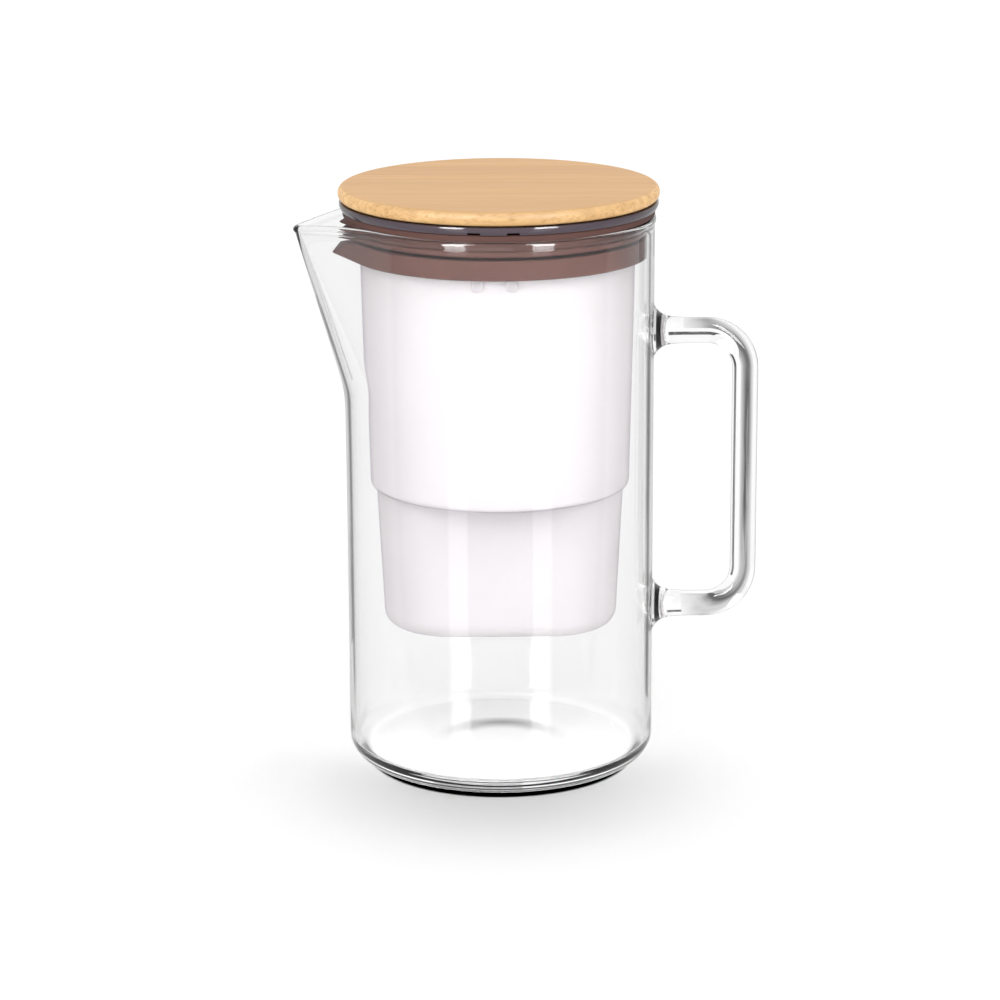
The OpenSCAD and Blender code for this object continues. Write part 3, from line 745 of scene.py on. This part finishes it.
# painted shade: a grey line is darkened into the colour along the step
step_shade = bell(tree, split.outputs["Z"], STEP_SHADE_Z * MM, STEP_SHADE_W * MM)
step_shade_share = add_node(tree, "Math", {0: step_shade, 1: STEP_SHADE_SHARE}, operation="MULTIPLY")
with_step_shade = add_node(tree, "Mix", {
    "Factor": step_shade_share, "A": milk, "B": linear("#8E858C"),
}, data_type="RGBA")
blast = add_node(tree, "TexNoise", {
    "Vector": place.outputs["Object"], "Scale": per_metre(0.6), "Detail": 2.0,
})
bump = add_node(tree, "Bump", {"Height": blast, "Strength": 0.1, "Distance": 0.03 * MM})
rough = add_node(tree, "MapRange", {"Value": blast, "To Min": 0.5, "To Max": 0.62})
body = add_node(tree, "BsdfPrincipled", {
    "Base Color": with_step_shade, "Roughness": rough, "IOR": 1.49, "Normal": bump,
})
glow = add_node(tree, "BsdfTranslucent", {"Color": with_step_shade, "Normal": bump})
mix = add_node(tree, "MixShader", {"Fac": GLOW_SHARE, 1: body, 2: glow})
shown(tree, mix)

# %% [markdown]
# ## The funnel
# One moulding: a round hopper that narrows a little, a step with a small radius, and
# below it an oval cup with round corners that holds the cartridge. Two separate shapes
# pushed together would leave a seam at the step. Here one grid runs from the middle of the
# cup's floor up the outside, over the rim and down the inside, and its outline changes from
# a rounded rectangle to a circle on the way. The outlet slots are cut last.

# %% Funnel
FUNNEL_T = 2.0
HOPPER_Z = 115.5
HOPPER_LOW_R = 52.7
NECK_LOW_Z = 203.45
STEP_R = 3.0
CUP_Z = 57.0
CUP_HEEL_R = 7.0
CUP_TOP = (50.0, 34.0, 30.0)
CUP_LOW = (47.4, 32.0, 28.0)
SLOT_PITCH = 9.0
SLOT_W = 3.0
SLOT_L = 24.0
SLOT_COUNT = 5
SHELL_GAP = 0.02
STEP_SPARE = 0.25


def rounded_rectangle(azimuth, half_w, half_d, corner):
    """Radius of a rectangle with round corners: the distance to the side that the ray
    meets, or, where it meets a corner's arc, the root of the circle's equation."""
    cosine = np.abs(np.cos(azimuth))
    sine = np.abs(np.sin(azimuth))
    corner_x = half_w - corner
    corner_y = half_d - corner
    to_side = half_w / np.maximum(cosine, 1e-9)
    to_front = half_d / np.maximum(sine, 1e-9)
    nearest = cosine * corner_x + sine * corner_y
    under_root = nearest ** 2 - corner_x ** 2 - corner_y ** 2 + corner ** 2
    to_arc = nearest + np.sqrt(np.clip(under_root, 0, None))
    on_side = to_side * sine < corner_y
    on_front = to_front * cosine < corner_x
    return np.where(on_side, to_side, np.where(on_front, to_front, to_arc))


def cup_outline(azimuth, share, inset):
    """Outline of the cup between its floor, share 0, and its top, share 1, drawn in by an
    inset."""
    sizes = [low + share * (top - low) - inset for low, top in zip(CUP_LOW, CUP_TOP)]
    return rounded_rectangle(azimuth, *sizes)


def cup_rows(azimuth, inset, floor_z, heel, top_z):
    """Radius and height of the cup's rows from the middle of its floor to its top: the
    floor, a quarter turn round the heel and the sloping wall."""
    radii = [share * cup_outline(azimuth, 0, inset + heel) for share in (0, 0.35, 0.7, 0.97)]
    heights = [floor_z] * 4
    for turn in np.radians(np.linspace(-90, 0, 12)):
        radii.append(cup_outline(azimuth, 0, inset + heel * (1 - math.cos(turn))))
        heights.append(floor_z + heel * (1 + math.sin(turn)))
    for share in np.linspace(0, 1, 12)[1:]:
        radii.append(cup_outline(azimuth, share, inset))
        heights.append(floor_z + heel + share * (top_z - floor_z - heel))
    return np.array(radii), np.array(heights)[:, None] + 0 * azimuth[None, :]


def hopper_rows(azimuth, inset, low_z, step, top_z):
    """Radius and height of the hopper's rows from its step to its rim. Where the cup comes
    close to the hopper's wall, the step's radius gets smaller."""
    wall = HOPPER_LOW_R - inset
    room = wall - cup_outline(azimuth, 1, inset) - STEP_SPARE
    across = np.minimum(step, room)
    radii = []
    heights = []
    for turn in np.radians(np.linspace(-90, 0, 10)):
        radii.append(wall - across * (1 - math.cos(turn)))
        heights.append(low_z + step * (1 + math.sin(turn)))
    for share in np.linspace(0, 1, 14)[1:]:
        radii.append(wall + share * (NECK_R - HOPPER_LOW_R) + 0 * azimuth)
        heights.append(low_z + step + share * (NECK_LOW_Z - low_z - step))
    for share in np.linspace(0, 1, 5)[1:]:
        radii.append(NECK_R - inset + 0 * azimuth)
        heights.append(NECK_LOW_Z + share * (top_z - NECK_LOW_Z))
    return np.array(radii), np.array(heights)[:, None] + 0 * azimuth[None, :]


funnel_azimuth = columns_with(288)
shelf_z = HOPPER_Z + FUNNEL_T
shell_top = COLLAR_Z - SHELL_GAP
outer_cup = cup_rows(funnel_azimuth, 0, CUP_Z, CUP_HEEL_R, HOPPER_Z)
outer_hopper = hopper_rows(funnel_azimuth, 0, HOPPER_Z, STEP_R, shell_top)
inner_hopper = hopper_rows(funnel_azimuth, FUNNEL_T, shelf_z, STEP_R - 1, shell_top)
inner_cup = cup_rows(funnel_azimuth, FUNNEL_T, CUP_Z + FUNNEL_T, CUP_HEEL_R - FUNNEL_T, shelf_z)
radius = np.vstack([outer_cup[0], outer_hopper[0], inner_hopper[0][::-1], inner_cup[0][::-1]])
height = np.vstack([outer_cup[1], outer_hopper[1], inner_hopper[1][::-1], inner_cup[1][::-1]])
funnel = skin("funnel_shell", turned(radius, height, funnel_azimuth), "poles")


def slot_cutter(x):
    """Upright prism with round ends, which cuts one outlet slot."""
    turn = np.linspace(0, 2 * np.pi, 32, endpoint=False)
    across = x + SLOT_W / 2 * np.cos(turn)
    along_y = SLOT_W / 2 * np.sin(turn) + np.sign(np.sin(turn) + 1e-6) * (SLOT_L - SLOT_W) / 2
    share = np.array([0, 1, 1, 0])[:, None]
    height = np.array([CUP_Z - 2, CUP_Z - 2, CUP_Z + 5, CUP_Z + 5])[:, None]
    points = np.stack([x + (across - x)[None, :] * share, along_y[None, :] * share,
                       height + 0 * across[None, :]], axis=-1)
    return skin("slot", points, "poles")


slots = [slot_cutter((i - (SLOT_COUNT - 1) / 2) * SLOT_PITCH) for i in range(SLOT_COUNT)]
joined("DIFFERENCE", funnel, slots)
funnel.data.set_sharp_from_angle(angle=math.radians(40))
funnel.data.materials.clear()
funnel.data.materials.append(frosted)
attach(funnel, "funnel")
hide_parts("reservoir")

# %% [markdown]
# ## Bamboo
# Bamboo board is glued up from strips of split cane, then sanded and oiled. Each strip has its
# own tone, with broad darker streaks along it, and fine fibres run with them as darker
# dashes. On the rounded edge the fibres are cut at a slant, so they show as brown
# specks, and there the ground is painted lighter and warmer as painted light. A wood photograph would
# slide round the edge, while noise in the board's own space cuts through it like the real fibres.

# %% Bamboo material
STRIP_W = 11.0
bamboo, tree = new_material("bamboo_oiled_laminated")
place = add_node(tree, "TexCoord")
split = add_node(tree, "SeparateXYZ", {"Vector": place.outputs["Object"]})
scaled = add_node(tree, "Math", {0: split.outputs["Y"], 1: per_metre(STRIP_W)}, operation="MULTIPLY")
strip = add_node(tree, "Math", {0: scaled}, operation="FLOOR")
strip_tone = add_node(tree, "TexWhiteNoise", {"W": strip}, noise_dimensions="1D")
shift = add_node(tree, "CombineXYZ", {"X": strip_tone})
moved = add_node(tree, "VectorMath", {0: place.outputs["Object"], 1: shift}, operation="ADD")
long_map = add_node(tree, "Mapping", {"Vector": moved, "Scale": (0.045, 1.0, 1.0)})
fibre = add_node(tree, "TexNoise", {
    "Vector": long_map, "Scale": per_metre(1.1), "Detail": 4.0, "Roughness": 0.6,
})
wide_map = add_node(tree, "Mapping", {"Vector": moved, "Scale": (0.02, 1.0, 1.0)})
broad = add_node(tree, "TexNoise", {"Vector": wide_map, "Scale": per_metre(4), "Detail": 3.0})
speck_map = add_node(tree, "Mapping", {"Vector": moved, "Scale": (0.3, 1.0, 1.0)})
speck = add_node(tree, "TexNoise", {
    "Vector": speck_map, "Scale": per_metre(1.5), "Detail": 4.0, "Roughness": 0.7,
})
face = add_node(tree, "NewGeometry")
face_split = add_node(tree, "SeparateXYZ", {"Vector": face.outputs["Normal"]})
# painted light: the rounded edge gets a lighter, warmer ground, as where more light falls
rounded = add_node(tree, "MapRange", {
    "Value": face_split.outputs["Z"], "From Min": 0.99, "From Max": 0.8,
}, interpolation_type="SMOOTHSTEP")
ground_with_edge_light = add_node(tree, "Mix", {
    "Factor": rounded, "A": linear("#E3B173"), "B": linear("#F8CB8B"),
}, data_type="RGBA")
tone_mix = add_node(tree, "MapRange", {"Value": strip_tone, "To Min": 0.0, "To Max": 0.22})
toned = add_node(tree, "Mix", {
    "Factor": tone_mix, "A": ground_with_edge_light, "B": linear("#B98550"),
}, data_type="RGBA")
wide_share = add_node(tree, "MapRange", {
    "Value": broad, "From Min": 0.42, "From Max": 0.66, "To Max": 0.42,
})
banded = add_node(tree, "Mix", {
    "Factor": wide_share, "A": toned, "B": linear("#CF9C64"),
}, data_type="RGBA")
dash_share = add_node(tree, "MapRange", {
    "Value": fibre, "From Min": 0.5, "From Max": 0.75, "To Max": 0.28,
})
dashed = add_node(tree, "Mix", {
    "Factor": dash_share, "A": banded, "B": linear("#BC8850"),
}, data_type="RGBA")
speck_cut = add_node(tree, "MapRange", {"Value": speck, "From Min": 0.5, "From Max": 0.8})
speck_share = add_node(tree, "Math", {0: speck_cut, 1: rounded}, operation="MULTIPLY")
speckled = add_node(tree, "Mix", {
    "Factor": speck_share, "A": dashed, "B": linear("#BE8446"),
}, data_type="RGBA")
rough = add_node(tree, "MapRange", {"Value": fibre, "To Min": 0.38, "To Max": 0.58})
bump = add_node(tree, "Bump", {"Height": fibre, "Strength": 0.3, "Distance": 0.06 * MM})
wood = add_node(tree, "BsdfPrincipled", {
    "Base Color": speckled, "Roughness": rough, "IOR": 1.5, "Normal": bump,
})
shown(tree, wood)

# %% [markdown]
# ## The lid board
# A round board, turned on a lathe and rounded over at both edges, so its edge is nearly a half
# circle. It is a profile turned round the axis, with a flat top and bottom.

# %% Lid board
board_low, board_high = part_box("lid_board")
BOARD_R = board_high.x / MM
BOARD_Z = board_low.z / MM
BOARD_TOP = board_high.z / MM
EDGE_R = 2.6
profile = np.vstack([
    line((0, BOARD_Z), (BOARD_R - EDGE_R, BOARD_Z), 10),
    arc(BOARD_R - EDGE_R, BOARD_Z + EDGE_R, EDGE_R, -90, 0, 12),
    arc(BOARD_R - EDGE_R, BOARD_TOP - EDGE_R, EDGE_R, 0, 90, 12),
    line((BOARD_R - EDGE_R - 1, BOARD_TOP), (0, BOARD_TOP), 10),
    [[0, BOARD_TOP]],
])
board_azimuth = columns_with(288)
board = skin("lid_board_skin", turned(profile[:, :1], profile[:, 1:], board_azimuth), "poles")
board.data.materials.append(bamboo)
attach(board, "lid")
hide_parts("lid_board")

# %% [markdown]
# ## Inner parts
# The cartridge, the plug under the lid, the seals and the screws keep the exact shapes of
# the frame, and get finishes here. Each is named for the real material, and each pattern has
# its real size: felt fibres, carbon granules, resin beads, moulding grain.

# %% Finishes of the inner parts
ROUGHNESS_SPREAD = 0.06


def grained(name, first, second, size_mm, roughness, depth_mm, ior=1.5, cells=False, **extra):
    """Material with two tones mixed by a pattern of one real size, which also lifts the
    surface. With cells the pattern is packed grains, otherwise it is noise. A metal keeps
    the index that the shader has."""
    made, tree = new_material(name)
    place = add_node(tree, "TexCoord")
    kind = "TexVoronoi" if cells else "TexNoise"
    pattern = add_node(tree, kind, {"Vector": place.outputs["Object"], "Scale": per_metre(size_mm)})
    tone = add_node(tree, "Mix", {
        "Factor": pattern, "A": linear(first), "B": linear(second),
    }, data_type="RGBA")
    rough = add_node(tree, "MapRange", {
        "Value": pattern, "To Min": roughness - ROUGHNESS_SPREAD,
        "To Max": roughness + ROUGHNESS_SPREAD,
    })
    bump = add_node(tree, "Bump", {
        "Height": pattern, "Strength": 0.6, "Distance": depth_mm * MM,
    }, invert=cells)
    inputs = {"Base Color": tone, "Roughness": rough, "Normal": bump, **extra}
    if "Metallic" not in extra:
        inputs["IOR"] = ior
    surface = add_node(tree, "BsdfPrincipled", inputs)
    shown(tree, surface)
    return made


white_pp = grained("white_polypropylene_moulded", "#E6E8EA", "#EEF0F1", size_mm=0.8,
                   roughness=0.42, depth_mm=0.03)
grey_pp = grained("pale_grey_polypropylene", "#D3D8DC", "#DDE1E4", size_mm=0.8,
                  roughness=0.4, depth_mm=0.03)
seal_rubber = grained("grey_silicone_seal", "#53565A", "#5E6165", size_mm=1.2,
                      roughness=0.5, depth_mm=0.03, ior=1.41)
mesh_pp = grained("filter_screen_polypropylene", "#C4CAD0", "#D2D7DC", size_mm=0.8,
                  roughness=0.45, depth_mm=0.03)
felt = grained("needled_polyester_felt", "#E4E3DC", "#F6F5F0", size_mm=0.35,
               roughness=0.9, depth_mm=0.3, **{"Sheen Weight": 0.3})
carbon = grained("granular_coconut_carbon", "#2B2B2C", "#0B0B0C", size_mm=1.2,
                 roughness=0.7, depth_mm=0.6, cells=True)
resin = grained("ion_exchange_resin_beads", "#DFA24B", "#8A5316", size_mm=0.9,
                roughness=0.3, depth_mm=0.5, cells=True)
plug_wood = grained("bamboo_sanded_plug", "#C89A64", "#D6AC78", size_mm=1.5,
                    roughness=0.6, depth_mm=0.05)
clear_rubber = grained("clear_silicone_ring", "#DADCDC", "#E6E7E7", size_mm=1.5,
                       roughness=0.4, depth_mm=0.02, ior=1.41)
steel = grained("stainless_steel_screw", "#A9AAAD", "#BFC0C3", size_mm=0.3,
                roughness=0.3, depth_mm=0.01, Metallic=1.0)

finishes = {
    "cartridge_housing": white_pp,
    "cartridge_cap": grey_pp,
    "cartridge_seal": seal_rubber,
    "inlet_screen": mesh_pp,
    "outlet_screen": mesh_pp,
    "upper_felt": felt,
    "middle_felt": felt,
    "lower_felt": felt,
    "carbon_bed": carbon,
    "resin_bed": resin,
    "lid_plug": plug_wood,
    "lid_gasket": clear_rubber,
    "lid_screws": steel,
}
for name, finish in finishes.items():
    nodes[name].material_slots[0].material = finish
print("finished", len(finishes), "inner nodes")

# %% [markdown]
# ## The studio
# Glass is photographed on a white sheet in an even white light. The sheet is pale and large
# enough to fill the picture. The picture is shown as it is computed, so that white paper is
# white. The light comes mostly from behind, so a soft shade lies in front of the jug, and
# a black line where its heel touches. A real shade would need the glass to dim the light on
# its way, which costs long and noisy renders. So the shade is a tone of the paper: it fades
# with the distance from a point in front of the jug, as a bell curve. Only the eye sees
# it, because through the glass the paper is bright: the jug gathers light like a lens. The
# sheet ends a few centimetres in front of the jug for what the glass mirrors, so that the dim
# front of the room shows in it.

# %% Floor
FLOOR_SIZE = 8.0
FLOOR_GAP = 0.0003
SHADE_CENTRE = (0.0, -45.0)
SHADE_WIDTH = 70.0
SHADE_DEPTH = 0.40
CONTACT_CENTRE = (0.0, -6.0)
CONTACT_INNER = 52.8
CONTACT_OUTER = 55.3
MIRROR_NEAR = 75.0
MIRROR_FAR = 120.0
PAPER_GLOW = 0.16
floor_points = np.array([[-1, -1, 0], [1, -1, 0], [1, 1, 0], [-1, 1, 0]]) * FLOOR_SIZE / 2
floor_points[:, 2] = -FLOOR_GAP
floor_mesh = bpy.data.meshes.new("studio_floor")
floor_mesh.from_pydata(floor_points.tolist(), [], [(0, 1, 2, 3)])
floor = bpy.data.objects.new("studio_floor", floor_mesh)
bpy.context.scene.collection.objects.link(floor)
paper, tree = new_material("white_paper_sheet")
place = add_node(tree, "TexCoord")


def distance_from(tree, place, centre):
    """Distance in metres from a point of the floor, given in millimetres."""
    centre_m = (centre[0] * MM, centre[1] * MM, 0)
    return add_node(tree, "VectorMath", {0: place.outputs["Object"], 1: centre_m}, operation="DISTANCE")


around = bell(tree, distance_from(tree, place, SHADE_CENTRE), 0.0, SHADE_WIDTH * MM)
soft = add_node(tree, "Math", {0: around, 1: SHADE_DEPTH}, operation="MULTIPLY")
contact = add_node(tree, "MapRange", {
    "Value": distance_from(tree, place, CONTACT_CENTRE), "From Min": CONTACT_OUTER * MM,
    "From Max": CONTACT_INNER * MM,
}, interpolation_type="SMOOTHSTEP")
painted_shade = add_node(tree, "Math", {0: soft, 1: contact}, operation="MAXIMUM")
path = add_node(tree, "LightPath")
seen = add_node(tree, "Math", {0: painted_shade, 1: path.outputs["Is Camera Ray"]}, operation="MULTIPLY")
pulp = add_node(tree, "TexNoise", {
    "Vector": place.outputs["Object"], "Scale": per_metre(3), "Detail": 2.0,
})
white = add_node(tree, "Mix", {
    "Factor": pulp, "A": linear("#F0F0F0"), "B": linear("#F2F2F2"),
}, data_type="RGBA")
shaded = add_node(tree, "Mix", {"Factor": seen, "A": white, "B": (0, 0, 0, 1)}, data_type="RGBA")
glow = add_node(tree, "MapRange", {"Value": seen, "To Min": PAPER_GLOW, "To Max": 0.0})
sheet = add_node(tree, "BsdfPrincipled", {
    "Base Color": shaded, "Roughness": 0.8, "Specular IOR Level": 0.0, "Emission Color": (1, 1, 1, 1),
    "Emission Strength": glow,
})
mirrored = add_node(tree, "Math", {
    0: path.outputs["Glossy Depth"], 1: 1.0, 2: 0.5,
}, operation="COMPARE")
split = add_node(tree, "SeparateXYZ", {"Vector": place.outputs["Object"]})
far = add_node(tree, "MapRange", {
    "Value": split.outputs["Y"], "From Min": -MIRROR_NEAR * MM, "From Max": -MIRROR_FAR * MM,
})
hidden = add_node(tree, "Math", {0: mirrored, 1: far}, operation="MULTIPLY")
nothing = add_node(tree, "BsdfTransparent")
mix = add_node(tree, "MixShader", {"Fac": hidden, 1: sheet, 2: nothing})
shown(tree, mix)
floor.data.materials.append(paper)

# %% [markdown]
# ## The room
# A mirror-like face would lose its outline in a white room, so photographers light the wall
# behind the glass and keep the room in front of it dim, and they stand black cards beside it,
# which draw dark lines in it. Here the world is white for every ray but those that were mirrored
# once, which see a dim front. The light that reaches a matt face through the glass is
# already counted by the shadow rays, so the world is left out for rays that come from a matt
# face and pass the glass.

# %% World
ROOM_LIGHT = 1.0
MIRRORED_ROOM = 0.52
BRIGHT_FROM = 0.65
DIM_FROM = 0.45
world = bpy.data.worlds.new("white_room")
world.use_nodes = True
tree = world.node_tree
path = add_node(tree, "LightPath")
mirrored = add_node(tree, "Math", {
    0: path.outputs["Glossy Depth"], 1: 1.0, 2: 0.5,
}, operation="COMPARE")
toward = add_node(tree, "TexCoord")
split = add_node(tree, "SeparateXYZ", {"Vector": toward.outputs["Generated"]})
front = add_node(tree, "MapRange", {
    "Value": split.outputs["Y"], "From Min": BRIGHT_FROM, "From Max": DIM_FROM,
}, interpolation_type="SMOOTHSTEP")
dim_share = add_node(tree, "Math", {0: mirrored, 1: front}, operation="MULTIPLY")
strength = add_node(tree, "MapRange", {
    "Value": dim_share, "To Min": ROOM_LIGHT, "To Max": MIRRORED_ROOM,
})
after_matt = add_node(tree, "Math", {
    0: path.outputs["Diffuse Depth"], 1: 0.5,
}, operation="GREATER_THAN")
counted = add_node(tree, "Math", {
    0: after_matt, 1: path.outputs["Is Transmission Ray"],
}, operation="MULTIPLY")
left = add_node(tree, "MapRange", {"Value": counted, "To Min": 1.0, "To Max": 0.0})
light = add_node(tree, "Math", {0: strength, 1: left}, operation="MULTIPLY")
tree.links.new(light.outputs[0], tree.nodes["Background"].inputs["Strength"])
tree.nodes["Background"].inputs["Color"].default_value = (1, 1, 1, 1)
bpy.context.scene.world = world

# %% [markdown]
# ## Black cards
# The cards show only to rays that have passed a single thickness of glass, as at the edges
# and in the handle's rod, so they never show through the jug. A plain black card gives hard
# lines, so each has paler patches. The card behind the handle is darkest along one upright
# band, which gives the rod a soft dark core.

# %% Cards
DARK_BAND_X = 98.0
DARK_BAND_W = 15.0
DARKER_FROM_Z = 80.0
DARKEST_AT_Z = 140.0
PATCH_SIZE = 9.0
TWO_FACES = 2.5


def card_paint(name, banded):
    """Dark paint with paler patches, darker towards the top. It covers the whole card, or it
    is darkest along one upright band and fades to white beside it."""
    paint, tree = new_material(name)
    path = add_node(tree, "LightPath")
    once = add_node(tree, "Math", {
        0: path.outputs["Transmission Depth"], 1: TWO_FACES,
    }, operation="LESS_THAN")
    place = add_node(tree, "TexCoord")
    upright = add_node(tree, "Mapping", {"Vector": place.outputs["Object"], "Scale": (1.0, 1.0, 0.25)})
    uneven = add_node(tree, "TexNoise", {
        "Vector": upright, "Scale": per_metre(PATCH_SIZE), "Detail": 3.0,
    })
    tone = add_node(tree, "MapRange", {
        "Value": uneven, "From Min": 0.42, "From Max": 0.66, "To Min": 0.08, "To Max": 0.5,
    })
    split = add_node(tree, "SeparateXYZ", {"Vector": place.outputs["Object"]})
    lower = add_node(tree, "MapRange", {
        "Value": split.outputs["Z"], "From Min": DARKER_FROM_Z * MM, "From Max": DARKEST_AT_Z * MM,
        "To Min": 1.0, "To Max": 0.4,
    })
    dark = add_node(tree, "Math", {0: tone, 1: lower}, operation="MULTIPLY")
    band = bell(tree, split.outputs["X"], DARK_BAND_X * MM, DARK_BAND_W * MM) if banded else 1.0
    spread = add_node(tree, "MapRange", {"Value": band, "To Min": 1.0, "To Max": dark})
    clear_part = add_node(tree, "BsdfTransparent")
    black_part = add_node(tree, "Emission", {"Strength": spread})
    mix = add_node(tree, "MixShader", {"Fac": once, 1: clear_part, 2: black_part})
    shown(tree, mix)
    return paint


def black_card(name, paint, start, end, low, high):
    """Upright card between two points of the floor and two heights, in millimetres."""
    corners = [(start[0], start[1], low), (end[0], end[1], low),
               (end[0], end[1], high), (start[0], start[1], high)]
    mesh = bpy.data.meshes.new(name)
    mesh.from_pydata((np.array(corners) * MM).tolist(), [], [(0, 1, 2, 3)])
    card = bpy.data.objects.new(name, mesh)
    bpy.context.scene.collection.objects.link(card)
    card.data.materials.append(paint)
    card.visible_camera = False
    card.visible_diffuse = False
    card.visible_glossy = False
    card.visible_shadow = False


even_paint = card_paint("black_card", banded=False)
banded_paint = card_paint("banded_card", banded=True)
black_card("grip_card", banded_paint, start=(116, 60), end=(76, 60), low=0, high=160)
black_card("left_card", even_paint, start=(-104, 140), end=(-132, 140), low=0, high=150)
black_card("side_card", even_paint, start=(192, 143), end=(205, 100), low=0, high=210)
black_card("high_card", even_paint, start=(-40, 500), end=(140, 500), low=110, high=190)

# %% [markdown]
# ## The lights
# A broad soft box above the camera gives round things a light middle and darker sides. Two tall
# strip lights in front draw the bright marks on the glass rim, and dim ones below
# them the pale bands on its wall. A lamp's power in watts follows from how bright its face
# should look: the brightness times pi times the area of the face.

# %% Lights


def soft_box(name, azimuth, distance, low, high, width, brightness, mirrored):
    """Area light round the jug that faces its axis, between two heights. Azimuth 0 is the
    camera's side and grows to the right. It is either only seen mirrored or only felt."""
    data = bpy.data.lights.new(name, "AREA")
    data.shape = "RECTANGLE"
    data.size = width
    data.size_y = high - low
    data.energy = brightness * math.pi * data.size * data.size_y
    lamp = bpy.data.objects.new(name, data)
    turn = math.radians(azimuth)
    middle = (distance * math.sin(turn), -distance * math.cos(turn), (low + high) / 2)
    lamp.matrix_world = (Matrix.Translation(middle) @ Matrix.Rotation(turn, 4, "Z")
                         @ Matrix.Rotation(math.pi / 2, 4, "X"))
    lamp.visible_camera = False
    lamp.visible_glossy = mirrored
    lamp.visible_diffuse = not mirrored
    bpy.context.scene.collection.objects.link(lamp)


soft_box("key_soft_box", azimuth=-10, distance=1.6, low=0.6, high=1.9, width=1.2,
         brightness=0.7, mirrored=False)
for side in (-1, 1):
    soft_box("strip_light", azimuth=side * 33, distance=1.0, low=0.25, high=2.0, width=0.28,
             brightness=16, mirrored=True)
    soft_box("low_strip_light", azimuth=side * 31, distance=1.0, low=-0.6, high=0.0, width=0.25,
             brightness=0.9, mirrored=True)
bpy.context.scene.view_settings.view_transform = "Standard"
bpy.context.scene.view_settings.look = "None"
